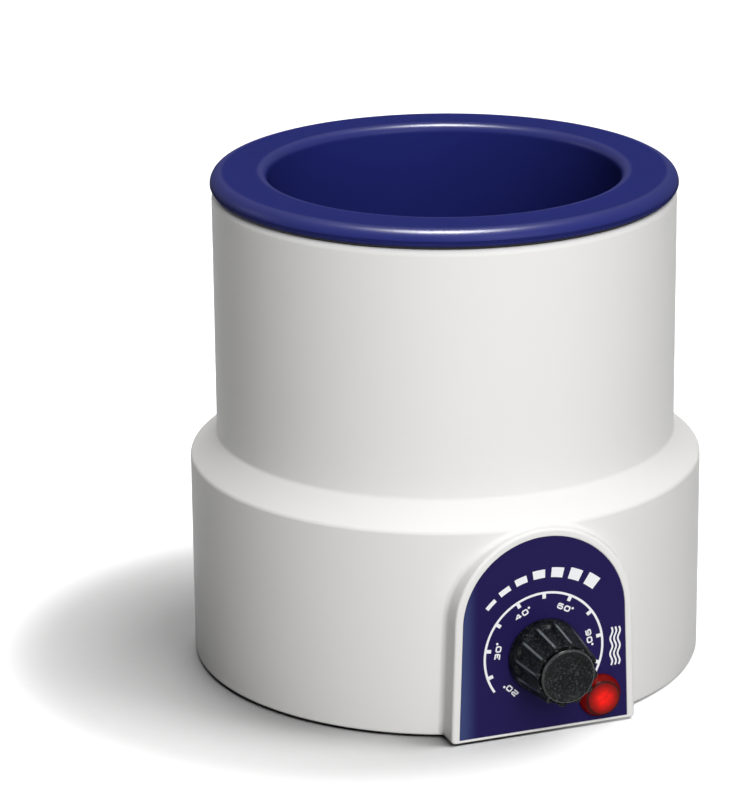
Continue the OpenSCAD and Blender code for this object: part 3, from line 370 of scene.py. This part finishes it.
pot_path = rounded([(0, floor_z, 0), (well_r, floor_z, 6), (well_r, rim_z, 3),
    (dish_r, rim_z - dish, 30), (rim_r, rim_z, 4), (rim_r, curl_z, 2),
    (rim_r - curl_w, curl_z, 0), (rim_r - curl_w, curl_z + pot_sheet, 0),
    (rim_r - pot_sheet, curl_z + pot_sheet, 0.5), (rim_r - pot_sheet, rim_z - pot_sheet, 2.5),
    (dish_r, rim_z - dish - pot_sheet, 0), (well_r + pot_sheet, rim_z - pot_sheet, 1.5),
    (well_r + pot_sheet, floor_z - pot_sheet, 7.5), (0, floor_z - pot_sheet, 0)],
    steps=10, closed=False)
pot = surface("well_pot", [lathe(pot_path)], blue_enamel)
settle(pot, "body", "pot_blue", "pot")


# ---- Seal ring -----------------------------------------------------------------------------------
# A flat ring cut from black silicone sheet, pinched between the rim and the deck.
seal_in_r, seal_out_r = 69.9, 76.9

# silicone: smooth and dull, a shade softer than the black rubber
black_silicone = finish("black silicone sheet", "#141416", 0.55, 0.5, 0.01, drift=0.1, spread=10,
    IOR=1.43)
ring = lathe(rounded([(seal_in_r, deck_z, 0.1), (seal_out_r, deck_z, 0.1),
    (seal_out_r, curl_z, 0.1), (seal_in_r, curl_z, 0.1)], steps=2, hold=0.1))
settle(surface("rim_seal", [ring], black_silicone), "body", "seal_black", "seal_ring")


# ---- Heater, insulation and the pot's fittings ---------------------------------------------------
# A mica band heater is clamped round the pot with one bolt, inside a glass-fibre sleeve; two
# steatite posts carry its studs, and crimped brass rings bring the wires.

# band steel that its own heat has tinted straw and brown in patches
heater_steel = finish("heat-tinted band steel", "#8d857a", 0.4, 0.3, 0.004, drift=0.15,
    spread=18, Metallic=1.0)
# steatite: fired, unglazed and faintly chalky
steatite = finish("fired steatite", "#e9e2d0", 0.6, 0.3, 0.01, drift=0.03, spread=5, IOR=1.6)
# needled glass-fibre felt: matt, with short fibres about 2 mm apart
glass_felt = finish("glass-fibre felt", "#d8cfae", 0.95, 2.0, 0.5, drift=0.12, spread=8, IOR=1.45)
# brass as it leaves the press: yellow and bright, with faint finger marks
brass = finish("stamped brass", "#c6a052", 0.3, 0.3, 0.003, drift=0.1, spread=5, Metallic=1.0)
# copper bulb and capillary: drawn, handled and slightly browned
copper = finish("drawn copper", "#b4714d", 0.35, 0.3, 0.003, drift=0.14, spread=7, Metallic=1.0)
# phenolic: brown, pressed, with a dusty sheen
phenolic = finish("pressed brown phenolic", "#4a2c1c", 0.4, 0.4, 0.008, drift=0.12, spread=6,
    IOR=1.6)
dress(heater_steel, "heater_band")
dress(zinc, "band_clamp_bolt", "band_clamp_nut", "heater_nuts", "bulb_clips", "cutout_studs",
    "cutout_nuts", "tie_rod", "tie_washer", "tie_nuts")
dress(steatite, "heater_terminals")
dress(glass_felt, "insulation_sleeve")
dress(brass, "ring_terminals", "earth_tag")
dress(copper, "sensing_bulb", "capillary_tube")
dress(phenolic, "thermal_cutout")


# ---- Control label -------------------------------------------------------------------------------
# A printed polycarbonate film, dark violet-blue, stuck into the boss's recess; its left edge is
# painted bluer, a painted reflection of the light that the film's cut side takes.
label, tree, place = blank("printed polycarbonate film")
across = add(tree, "ShaderNodeSeparateXYZ", {"Vector": place})
# painted reflection: the share of bluer colour painted in towards the film's left edge
painted_edge_reflection = add(tree, "ShaderNodeMapRange", {"Value": across.outputs["X"], "From Min": -29.4 * MM,
    "From Max": -23 * MM, "To Min": 0.85, "To Max": 0.0}, interpolation_type="SMOOTHSTEP")
cast = add(tree, "ShaderNodeTexNoise", {"Vector": place, "Scale": 60.0, "Detail": 2.0})
ground = add(tree, "ShaderNodeMix", {0: cast.outputs[0], 6: linear("#1e1749"),
    7: linear("#221b4e")}, data_type="RGBA")
tint = add(tree, "ShaderNodeMix", {0: painted_edge_reflection.outputs[0], 6: ground.outputs[2],
    7: linear("#3f4a78")}, data_type="RGBA")
# the film's velvet texture, about 0.25 mm, keeps it from mirroring
velvet = add(tree, "ShaderNodeTexNoise", {"Vector": place, "Scale": 1 / (0.25 * MM),
    "Detail": 1.0})
relief = add(tree, "ShaderNodeBump", {"Height": velvet.outputs[0], "Distance": 0.004 * MM})
film = add(tree, "ShaderNodeBsdfPrincipled", {"Base Color": tint.outputs[2], "Roughness": 0.5,
    "IOR": 1.5, "Specular IOR Level": 0.1, "Normal": relief.outputs[0]})
add(tree, "ShaderNodeOutputMaterial", {"Surface": film.outputs[0]})
dress(label, "control_label")


# ---- Print on the label --------------------------------------------------------------------------
# Opaque white screen ink: the temperature scale with its ticks and numbers, seven blocks that
# rise with the heat, and three wavy lines for warmth. Strokes are laid 0.03 mm over the film.
ring_x, ring_z, ring_r, ring_pen = -0.2, 28.7, 20.9, 0.8
tick_in_r, tick_out_r, tick_pen, tick_pitch = 18.9, 20.6, 1.25, 27
number_r, figure_w, figure_h, figure_gap, figure_pen = 16.4, 1.75, 1.55, 0.95, 0.5
block_first, block_pitch, block_half, block_low = 134, 13.4, 4.4, 26.2
wave_x, wave_z, wave_pitch, wave_swing, wave_tall, wave_pen = 25.3, 20.5, 1.35, 0.4, 13.5, 0.62
ink_y = 0.17 - face_y
# where strokes cross, one is lifted by this much, so that the two don't share a plane
clear_of = 0.006

# screen ink: matt and dense, with a slightly uneven film
white_ink = finish("white screen ink", "#f1f1f4", 0.5, 0.4, 0.003, drift=0.015, spread=3, IOR=1.5)


def inked(path, width, closed=False, lift=0.0):
    """A stroke of that width along a path (x, z): each point goes half the width to either side,
    square to the mean direction of its two neighbours, and further at a bend to keep the width."""
    path = np.array(path, float)
    if closed:
        path = np.concatenate([path, path[:1]])
    step = np.diff(path, axis=0)
    step = step / np.linalg.norm(step, axis=1, keepdims=True)
    before = np.concatenate([step[-1:] if closed else step[:1], step])
    after = np.concatenate([step, step[:1] if closed else step[-1:]])
    mean = before + after
    mean = mean / np.linalg.norm(mean, axis=1, keepdims=True)
    side = np.stack([-mean[:, 1], mean[:, 0]], -1) / np.maximum((mean * after).sum(1), 0.5)[:, None]
    sides = np.stack([path - side * width / 2, path + side * width / 2])
    return np.stack([sides[..., 0], np.full(sides.shape[:2], ink_y - lift), sides[..., 1]], -1)


def around(radius, start, end, count):
    """Points on a circle about the scale's centre, anticlockwise in degrees from the right."""
    a = np.radians(np.linspace(start, end, count))
    return np.stack([ring_x + radius * np.cos(a), ring_z + radius * np.sin(a)], -1)


print_rows = [inked(around(ring_r, -33.5, 213.5, 120), ring_pen)]
for k in range(-4, 5):
    ends = [around(r, 90 + tick_pitch * k, 0, 1) for r in (tick_in_r, tick_out_r)]
    print_rows.append(inked(np.concatenate(ends), tick_pen, lift=clear_of))
# each figure as centre lines of (across, up, corner radius), in a box 1 wide and 1 high
figures = {
    "0": [[(0, 0, .3), (1, 0, .3), (1, 1, .3), (0, 1, .3)]],
    "2": [[(0, 1, 0), (1, 1, .22), (1, .52, .22), (0, .48, .22), (0, 0, 0), (1.04, 0, 0)]],
    "3": [[(0, 1, 0), (1, 1, .22), (1, 0, .22), (0, 0, 0)], [(.3, .5, 0), (.98, .5, 0)]],
    "4": [[(.74, 0, 0), (.74, 1, 0)], [(.6, 1, 0), (0, .3, 0), (1.1, .3, 0)]],
    "6": [[(1, 1, 0), (0, 1, .3), (0, 0, .3), (1, 0, .25), (1, .58, .25), (0, .58, 0)]],
    "9": [[(0, 0, 0), (1, 0, .3), (1, 1, .3), (0, 1, .25), (0, .42, .25), (1, .42, 0)]],
}
for text, angle in (("20", 225), ("30", 171), ("40", 117), ("60", 63), ("90", 10)):
    a = math.radians(angle)
    outward = np.array([math.cos(a), math.sin(a)])
    reading = np.array([math.sin(a), -math.cos(a)])
    # half a number's width is one figure, half the gap, and half of the degree dot's room
    corner = np.array([ring_x, ring_z]) + number_r * outward
    corner = corner - reading * (figure_w + figure_gap / 2 + 0.5)
    for order, figure in enumerate(text):
        for stroke, line in enumerate(figures[figure]):
            line = np.array(line) * [figure_w, figure_h, figure_h]
            path = rounded(line, steps=4, hold=0.01, closed=figure == "0")
            path = path[:-1] if figure == "0" else path
            path = path + [order * (figure_w + figure_gap), -figure_h / 2]
            spot = corner + path[:, :1] * reading + path[:, 1:] * outward
            print_rows.append(inked(spot, figure_pen, figure == "0", lift=clear_of * stroke))
    dot = corner + reading * (2 * figure_w + figure_gap + 0.95) + outward * (figure_h / 2 - 0.05)
    turn = np.radians(np.linspace(0, 360, 17))
    disc = np.stack([np.cos(turn), np.sin(turn)], -1) * 0.42 + dot
    pair = np.stack([disc, np.broadcast_to(dot, disc.shape)])
    print_rows.append(np.stack([pair[..., 0], np.full(pair.shape[:2], ink_y), pair[..., 1]], -1))
for i in range(7):
    at, high = block_first - block_pitch * i, 27.6 + 0.5 * i
    print_rows.append(inked(around((block_low + high) / 2, at + block_half, at - block_half, 9),
        high - block_low))
for i in (-1, 0, 1):
    up = np.linspace(0, 1, 49)
    # two and a half swings from foot to head
    wave = np.stack([wave_x + wave_pitch * i + wave_swing * np.sin(up * 5 * math.pi),
        wave_z + wave_tall * up], -1)
    print_rows.append(inked(wave, wave_pen))
ink = surface("label_print", print_rows, white_ink)
work = bmesh.new()
work.from_mesh(ink.data)
for face in work.faces:
    if face.normal.y > 0:
        face.normal_flip()
work.to_mesh(ink.data)
work.free()
ink.data.shade_flat()
ink_film = ink.modifiers.new("ink thickness", "SOLIDIFY")
ink_film.thickness = 0.035 * MM
ink_film.offset = -1
settle(ink, "body", "label_blue")


# ---- Thermostat ----------------------------------------------------------------------------------
# A capillary thermostat behind the boss: a brown phenolic case on a plated plate, held by two
# countersunk screws; its steel spindle turns in a brass bush and carries the knob.
dress(phenolic, "thermostat_case", "thermostat_cover")
dress(zinc, "thermostat_plate", "thermostat_screws", "thermostat_capsule", "spindle")
dress(brass, "spindle_bush", "contact_blade", "fixed_contact", "thermostat_tabs")


# ---- Dial knob -----------------------------------------------------------------------------------
# Pressed in black phenolic with a mineral filler: a tapered skirt with twelve scooped grooves, a
# sunk ring, and a round cap whose edge is polished by handling. It pushes on the spindle.
knob_z = 27.9
base_r, front_r, sunk_r, cap_r, socket_r = 13.0, 11.0, 9.9, 9.3, 6.0
# heights over the boss's face
knob_low, sunk_h, skirt_h, cap_h = 0.4, 18.1, 19.0, 20.6
grooves, pointer_a = 12, 112
scoop_r, scoop_deep, scoop_start, scoop_ramp = 2.6, 1.1, 4.0, 2.2
rib_r, rib_half = 11.5, 0.75

phenolic_black, tree, place = blank("black mineral-filled phenolic")
# filler shows as grey flecks of up to 0.8 mm, drawn a little coarse so that they show
flecks = add(tree, "ShaderNodeTexNoise", {"Vector": place, "Scale": 1300.0, "Detail": 3.0,
    "Roughness": 0.75})
share = add(tree, "ShaderNodeMapRange", {"Value": flecks.outputs[0], "From Min": 0.52,
    "From Max": 0.72})
colour = add(tree, "ShaderNodeMix", {0: share.outputs[0], 6: linear("#050606"),
    7: linear("#474e51")}, data_type="RGBA")
gloss = add(tree, "ShaderNodeMapRange", {"Value": flecks.outputs[0], "From Min": 0.3,
    "From Max": 0.7, "To Min": 0.3, "To Max": 0.5})
relief = add(tree, "ShaderNodeBump", {"Height": flecks.outputs[0], "Distance": 0.05 * MM})
# a painted highlight: the crests of the ridges are painted pale, and handling has worn them smooth,
# above the foot and below the ring
here = add(tree, "ShaderNodeSeparateXYZ", {"Vector": place})
upward = add(tree, "ShaderNodeMath", {0: here.outputs["Z"], 1: knob_z * MM},
    operation="SUBTRACT")
bearing = add(tree, "ShaderNodeMath", {0: upward.outputs[0], 1: here.outputs["X"]},
    operation="ARCTAN2")
phase = add(tree, "ShaderNodeMath", {0: bearing.outputs[0], 1: float(grooves),
    2: -math.radians(pointer_a) * grooves}, operation="MULTIPLY_ADD")
ridge = add(tree, "ShaderNodeMath", {0: phase.outputs[0]}, operation="COSINE")
crest = add(tree, "ShaderNodeMapRange", {"Value": ridge.outputs[0], "From Min": 0.86,
    "From Max": 0.98})
# the height over the boss's face, in mm
height = add(tree, "ShaderNodeMath", {0: here.outputs["Y"], 1: -1 / MM, 2: -face_y},
    operation="MULTIPLY_ADD")
low_end = add(tree, "ShaderNodeMapRange", {"Value": height.outputs[0], "From Min": 4.5,
    "From Max": 6.5})
high_end = add(tree, "ShaderNodeMapRange", {"Value": height.outputs[0], "From Min": skirt_h,
    "From Max": skirt_h - 1})
between = add(tree, "ShaderNodeMath", {0: low_end.outputs[0], 1: high_end.outputs[0]},
    operation="MULTIPLY")
crest_highlight_and_wear = add(tree, "ShaderNodeMath", {0: between.outputs[0], 1: crest.outputs[0]},
    operation="MULTIPLY")
# the crests' pale colour is a painted highlight; their gloss below is handling wear
colour = add(tree, "ShaderNodeMix", {0: crest_highlight_and_wear.outputs[0], 6: colour.outputs[2],
    7: linear("#666c70")}, data_type="RGBA")
# the cap's rounded edge is polished
outwards = from_axis(tree, place, (0, 0, knob_z), (1, 0, 1))
near_edge = add(tree, "ShaderNodeMapRange", {"Value": outwards, "From Min": (cap_r - 0.8) * MM,
    "From Max": (cap_r - 0.5) * MM})
on_cap = add(tree, "ShaderNodeMapRange", {"Value": height.outputs[0], "From Min": cap_h - 1.2,
    "From Max": cap_h - 0.9})
cap_edge = add(tree, "ShaderNodeMath", {0: near_edge.outputs[0], 1: on_cap.outputs[0]},
    operation="MULTIPLY")
smooth = add(tree, "ShaderNodeMath", {0: crest_highlight_and_wear.outputs[0], 1: cap_edge.outputs[0]},
    operation="MAXIMUM")
gloss = add(tree, "ShaderNodeMix", {0: smooth.outputs[0], 2: gloss.outputs[0], 3: 0.2})
polish = add(tree, "ShaderNodeMapRange", {"Value": smooth.outputs[0], "To Min": 0.03,
    "To Max": 0.24})
skin = add(tree, "ShaderNodeBsdfPrincipled", {"Base Color": colour.outputs[2],
    "Roughness": gloss.outputs[0], "IOR": 1.5, "Specular IOR Level": 0.1, "Coat IOR": 2.5,
    "Coat Roughness": 0.22, "Coat Weight": polish.outputs[0], "Normal": relief.outputs[0]})
add(tree, "ShaderNodeOutputMaterial", {"Surface": skin.outputs[0]})

profile = finer(rounded([(socket_r, 3, 0), (socket_r, knob_low, 0.2), (base_r, knob_low, 0.4),
    (front_r, skirt_h, 0.5), (sunk_r, skirt_h, 0.1), (sunk_r, sunk_h, 0.1), (cap_r, sunk_h, 0.1),
    (cap_r, cap_h, 0.8), (8.3, cap_h, 0.2), (7.2, cap_h - 0.6, 1.2), (4.6, cap_h - 1.3, 6),
    (0, cap_h - 1.5, 0)], steps=6, hold=0.08, closed=False), 0.8, cap_h + 1)
a = np.radians(np.linspace(0, 360, 361))
r, h = profile[:, :1], profile[:, 1:]
first_sunk_row = int(np.argmax((profile[:, 0] < sunk_r + 0.01) & (profile[:, 1] > 15)))
on_skirt = (np.arange(len(profile)) < first_sunk_row)[:, None] & (r > sunk_r)
skirt_r = base_r + (front_r - base_r) * (h - knob_low) / (skirt_h - knob_low)
# a groove is a round scoop that starts softly above the foot: its depth falls off by the square
# of the way round from its middle, over twice the scoop's radius
pitch = 2 * math.pi / grooves
off = (a - math.radians(pointer_a)) % pitch - pitch / 2
scoop = np.clip(scoop_deep - (off * skirt_r) ** 2 / (2 * scoop_r), 0, scoop_deep)
start = np.clip((h - scoop_start) / scoop_ramp, 0, 1)
cut = scoop * start * start * (3 - 2 * start)
radius = np.where(on_skirt, np.minimum(r, skirt_r - cut), r)
# the pointer is a rib on one ridge, 1.5 mm wide
aim = (a - math.radians(pointer_a) + math.pi) % (2 * math.pi) - math.pi
on_rib = (np.abs(aim) * rib_r < rib_half) & on_skirt & (h < 17) & (h > 1)
radius = np.maximum(radius, np.where(on_rib, rib_r, 0))
knob_grid = np.stack([radius * np.cos(a), np.broadcast_to(-face_y - h, radius.shape),
    knob_z + radius * np.sin(a)], -1)
knob = surface("dial_knob", [knob_grid], phenolic_black, sharp=42)
settle(knob, "dial_knob", "knob_black", "knob")


# ---- Pilot lamp ----------------------------------------------------------------------------------
# A clear red polycarbonate lens with a flange, over a small neon lamp in a black nylon body that
# a spring collar holds; the neon glows through the lens when the heater is on.
lamp_x, lamp_z = 19.7, 10.7
lens_bore_r, lens_flange_r, dome_r = 3.9, 7.3, 5.8
lens_low, flange_h, dome_h, lens_hollow_h = -0.2, 0.9, 3.8, 2.4

red_lens, tree, place = blank("red polycarbonate, lit from behind")
away = from_axis(tree, place, (lamp_x, 0, lamp_z), (1, 0, 1))
# the glow is strongest over the neon and falls off to the lens's edge
glow = add(tree, "ShaderNodeMapRange", {"Value": away, "From Min": 1.0 * MM, "From Max": 5.6 * MM,
    "To Min": 1.0, "To Max": 0.05}, interpolation_type="SMOOTHSTEP")
# the lens's inner facets, about 2 mm, break the glow up
mottle = add(tree, "ShaderNodeTexNoise", {"Vector": place, "Scale": 1 / (2 * MM), "Detail": 1.0})
uneven = add(tree, "ShaderNodeMapRange", {"Value": mottle.outputs[0], "From Min": 0.3,
    "From Max": 0.7, "To Min": 0.44, "To Max": 0.7})
lit = add(tree, "ShaderNodeMath", {0: glow.outputs[0], 1: uneven.outputs[0]},
    operation="MULTIPLY")
# painted light: the lens's red is painted lighter where the glow is strongest
red_with_painted_glow_and_shade = add(tree, "ShaderNodeMix", {0: glow.outputs[0], 6: linear("#6a0c08"),
    7: linear("#98120c")}, data_type="RGBA")
# painted shade: a dark line is painted round the dome's rounded edge, where it bends the light away
painted_edge_shade = add(tree, "ShaderNodeMath", {0: away, 1: (dome_r - 0.05) * MM, 2: 0.35 * MM},
    operation="COMPARE")
red_with_painted_glow_and_shade = add(tree, "ShaderNodeMix", {0: painted_edge_shade.outputs[0], 6: red_with_painted_glow_and_shade.outputs[2],
    7: linear("#2a0503")}, data_type="RGBA")
lens = add(tree, "ShaderNodeBsdfPrincipled", {"Base Color": red_with_painted_glow_and_shade.outputs[2],
    "Roughness": 0.3, "IOR": 1.58, "Specular IOR Level": 0.0, "Coat Weight": 0.07,
    "Coat IOR": 2.5, "Coat Roughness": 0.12, "Emission Color": linear("#ff160c"),
    "Emission Strength": lit.outputs[0]})
add(tree, "ShaderNodeOutputMaterial", {"Surface": lens.outputs[0]})

lens_path = rounded([(lens_bore_r, lens_low, 0), (lens_flange_r, lens_low, 0),
    (lens_flange_r, flange_h, 0.4), (dome_r, dome_h, 1.0), (0, dome_h, 0), (0, lens_hollow_h, 0),
    (lens_bore_r, lens_hollow_h, 0.3), (lens_bore_r, lens_low, 0)], steps=8, hold=0.08,
    closed=False)
lens_grid = lathe(lens_path, 96)
lens_grid = np.stack([lamp_x + lens_grid[..., 0], -face_y - lens_grid[..., 2],
    lamp_z + lens_grid[..., 1]], -1)
settle(surface("pilot_lens_clear", [lens_grid], red_lens), "body", "lens_red", "pilot_lens")

# drawn glass, orange from the gas that glows in it
neon = finish("orange neon glass", "#e2641e", 0.1, 1.0, 0.002, drift=0.1, spread=3, IOR=1.5)
# nylon off a plain mould: black with a dull gloss
dark_nylon = finish("moulded black nylon", "#202124", 0.45, 0.4, 0.01, drift=0.1, spread=6,
    IOR=1.53)
dress(neon, "neon_bulb")
dress(dark_nylon, "pilot_body")
dress(zinc, "pilot_collar")
dress(brass, "pilot_tabs")


# ---- Terminal block and wiring -------------------------------------------------------------------
# An ivory nylon block with brass inserts takes the mains poles; silicone-covered wires in their
# usual colours run to the thermostat, the lamp and the heater, ending in clear push-on sleeves.

# nylon: ivory, waxy and faintly yellowed
ivory_nylon = finish("moulded ivory nylon", "#dcd6c3", 0.4, 0.5, 0.01, drift=0.04, spread=8,
    IOR=1.53)
# soft PVC tube: milky, so that the brass under it shows through only a little
clear_sleeve = finish("milky PVC sleeve", "#c9ccd0", 0.3, 0.6, 0.004, drift=0.05, spread=4,
    IOR=1.53, Transmission_Weight=0.3)
dress(ivory_nylon, "terminal_block")
dress(brass, "terminal_inserts")
dress(zinc, "terminal_screws")
dress(clear_sleeve, "push_on_sleeves")
# silicone insulation: soft sheen, slightly uneven from extrusion
for colour_name, code, drift, wires in (
        ("brown", "#5a3420", 0.08, ("wire_live",)),
        ("black", "#1b1b1d", 0.12, ("wire_switched", "wire_heater", "wire_lamp_live")),
        ("blue", "#1f4f9a", 0.08, ("wire_neutral", "wire_lamp_neutral"))):
    dress(finish(colour_name + " silicone insulation", code, 0.5, 0.4, 0.006, drift=drift,
        spread=9), *wires)
# the earth wire is green with a yellow stripe, here as bands of some 6 mm
earth, tree, place = blank("green and yellow silicone insulation")
bands = add(tree, "ShaderNodeTexWave", {"Vector": place, "Scale": 1 / (6 * MM) / 20 * math.pi,
    "Distortion": 1.0}, bands_direction="DIAGONAL")
side_of = add(tree, "ShaderNodeMapRange", {"Value": bands.outputs[1], "From Min": 0.45,
    "From Max": 0.55})
colour = add(tree, "ShaderNodeMix", {0: side_of.outputs[0], 6: linear("#2f7a33"),
    7: linear("#d9c928")}, data_type="RGBA")
skin = add(tree, "ShaderNodeBsdfPrincipled", {"Base Color": colour.outputs[2],
    "Roughness": 0.5})
add(tree, "ShaderNodeOutputMaterial", {"Surface": skin.outputs[0]})
dress(earth, "wire_earth")


# ---- Floor, lamps and camera ---------------------------------------------------------------------
# A plain white sheet under soft studio light. Two softboxes in front, a weak fill at the right,
# one overhead, one behind and an edge lamp behind the left side light the warmer; four broad suns
# light only the sheet, so that the shadow falls to the left and a little to the front.
bpy.context.scene.view_settings.view_transform = "Standard"


def seen_directly(tree):
    """1 on the rays that come from the camera, off a glossy piece or through a clear one, and 0
    on the light that is scattered between surfaces: the greatest of the three ray kinds."""
    ray = add(tree, "ShaderNodeLightPath")
    direct = ray.outputs["Is Camera Ray"]
    for kind in ("Is Glossy Ray", "Is Transmission Ray"):
        direct = add(tree, "ShaderNodeMath", {0: direct, 1: ray.outputs[kind]},
            operation="MAXIMUM").outputs[0]
    return direct


# paper: matt, with a faint cloudiness. The light that it scatters back is held low
paper, tree, place = blank("white paper sweep")
fibre = add(tree, "ShaderNodeTexNoise", {"Vector": place, "Scale": 300.0, "Detail": 2.0})
sheet = add(tree, "ShaderNodeMix", {0: fibre.outputs[0], 6: linear("#b3b3b3"),
    7: linear("#b6b6b6")}, data_type="RGBA")
tone = add(tree, "ShaderNodeMix", {0: seen_directly(tree), 6: linear("#565656"),
    7: sheet.outputs[2]}, data_type="RGBA")
# past an oval round the shadow's reach, the sheet is lifted to plain white for the camera
oval_x, oval_y, oval_wide, oval_deep = -0.045, 0.005, 0.105, 0.112
oval = add(tree, "ShaderNodeMapping", {"Vector": place,
    "Location": (-oval_x / oval_wide, -oval_y / oval_deep, 0),
    "Scale": (1 / oval_wide, 1 / oval_deep, 0)})
reach = add(tree, "ShaderNodeVectorMath", {0: oval.outputs[0]}, operation="LENGTH")
far = add(tree, "ShaderNodeMapRange", {"Value": reach.outputs["Value"], "From Min": 0.88,
    "From Max": 1.25, "To Min": 0.0, "To Max": 0.5}, interpolation_type="SMOOTHSTEP")
ray = add(tree, "ShaderNodeLightPath")
lift = add(tree, "ShaderNodeMath", {0: far.outputs[0], 1: ray.outputs["Is Camera Ray"]},
    operation="MULTIPLY")
skin = add(tree, "ShaderNodeBsdfPrincipled", {"Base Color": tone.outputs[2], "Roughness": 0.9,
    "Specular IOR Level": 0.1, "Emission Color": (1, 1, 1, 1),
    "Emission Strength": lift.outputs[0]})
add(tree, "ShaderNodeOutputMaterial", {"Surface": skin.outputs[0]})
span = np.linspace(-4000, 4000, 3)
floor_grid = np.stack(np.broadcast_arrays(span[None, :], span[:, None], 0.0), -1)
floor = surface("floor", [floor_grid], paper)

# the sheet has lamps of its own, high at the right and behind, and the other lamps leave it out
sheet_alone = bpy.data.collections.new("sheet alone")
sheet_alone.objects.link(floor)
casts_shadow = bpy.data.collections.new("casts the shadow")
for piece in (housing, pot):
    casts_shadow.objects.link(piece)
all_but_sheet = bpy.data.collections.new("all but the sheet")
all_but_sheet.objects.link(floor)
all_but_sheet.collection_objects[0].light_linking.link_state = "EXCLUDE"
glazed = bpy.data.collections.new("glazed")
glazed.objects.link(pot)


def towards(azimuth, elevation):
    """The way to a lamp at that azimuth, 0 in front and growing towards the right, and that
    elevation: the azimuth's sine and its cosine turned to the front, both times the elevation's
    cosine, and the elevation's sine."""
    az, el = math.radians(azimuth), math.radians(elevation)
    return Vector((math.sin(az) * math.cos(el), -math.cos(az) * math.cos(el), math.sin(el)))


def lamp(name, azimuth, elevation, distance, size, energy):
    """A square area lamp that way, distance metres from the warmer's middle and aimed at it."""
    data = bpy.data.lights.new(name, "AREA")
    data.shape = "SQUARE"
    data.size = size
    data.energy = energy
    piece = bpy.data.objects.new(name, data)
    middle = Vector((0, 0, 0.09))
    piece.location = middle + distance * towards(azimuth, elevation)
    piece.rotation_euler = (middle - piece.location).to_track_quat("-Z", "Y").to_euler()
    piece.light_linking.receiver_collection = all_but_sheet
    bpy.context.scene.collection.objects.link(piece)
    return piece


lamp("main softbox", -6, 40, 1.6, 0.8, 13.2).visible_glossy = False
lamp("low softbox", -6, 15, 1.6, 0.8, 10.2).visible_glossy = False
lamp("right fill", 14, 20, 1.6, 0.8, 3.0)
lamp("top softbox", 0, 89, 1.4, 0.4, 8.2)
lamp("left back edge", -126, 20, 1.3, 0.4, 0.9)
# the bright lines on the pot's glaze; it gives the pot no other light, and no other piece any
strip = lamp("highlight strip", 0, 89, 1.4, 0.4, 85)
strip.visible_diffuse = False
strip.light_linking.receiver_collection = glazed
# lights the far side; kept out of reflections, where it would glare on the flat rim
lamp("back softbox", 159, 30, 1.6, 0.8, 10).visible_glossy = False

for name, azimuth, elevation, spread, energy in (("sheet right", 70, 64, 18, 1.7),
        ("sheet front", 30, 64, 30, 1.8), ("sheet back", 170, 64, 30, 2.1),
        ("sheet top", 90, 72, 18, 1.64)):
    data = bpy.data.lights.new(name, "SUN")
    data.angle = math.radians(spread)
    data.energy = energy
    piece = bpy.data.objects.new(name, data)
    piece.rotation_euler = towards(azimuth, elevation).to_track_quat("Z", "Y").to_euler()
    piece.light_linking.receiver_collection = sheet_alone
    piece.light_linking.blocker_collection = casts_shadow
    bpy.context.scene.collection.objects.link(piece)

# a white room to the camera, in reflections and through clear pieces; it gives no light
world = bpy.data.worlds.new("studio")
bpy.context.scene.world = world
world.use_nodes = True
tree = world.node_tree
tree.nodes.clear()
sky = add(tree, "ShaderNodeBackground", {"Color": (1, 1, 1, 1), "Strength": seen_directly(tree)})
add(tree, "ShaderNodeOutputWorld", {"Surface": sky.outputs[0]})

# a long lens from the front left, a little above, rolled by about a fifth of a degree
view = bpy.data.cameras.new("camera")
view.sensor_width = 36
view.lens = 168.7
view.shift_x = -0.0901
camera = bpy.data.objects.new("camera", view)
camera.location = (-0.4399, -1.1459, 0.4955)
aimed = (Vector((0, 0, 0.0882)) - camera.location).to_track_quat("-Z", "Y").to_matrix()
camera.rotation_euler = (aimed @ Matrix.Rotation(math.radians(-0.221), 3, "Z")).to_euler()
bpy.context.scene.collection.objects.link(camera)
bpy.context.scene.camera = camera
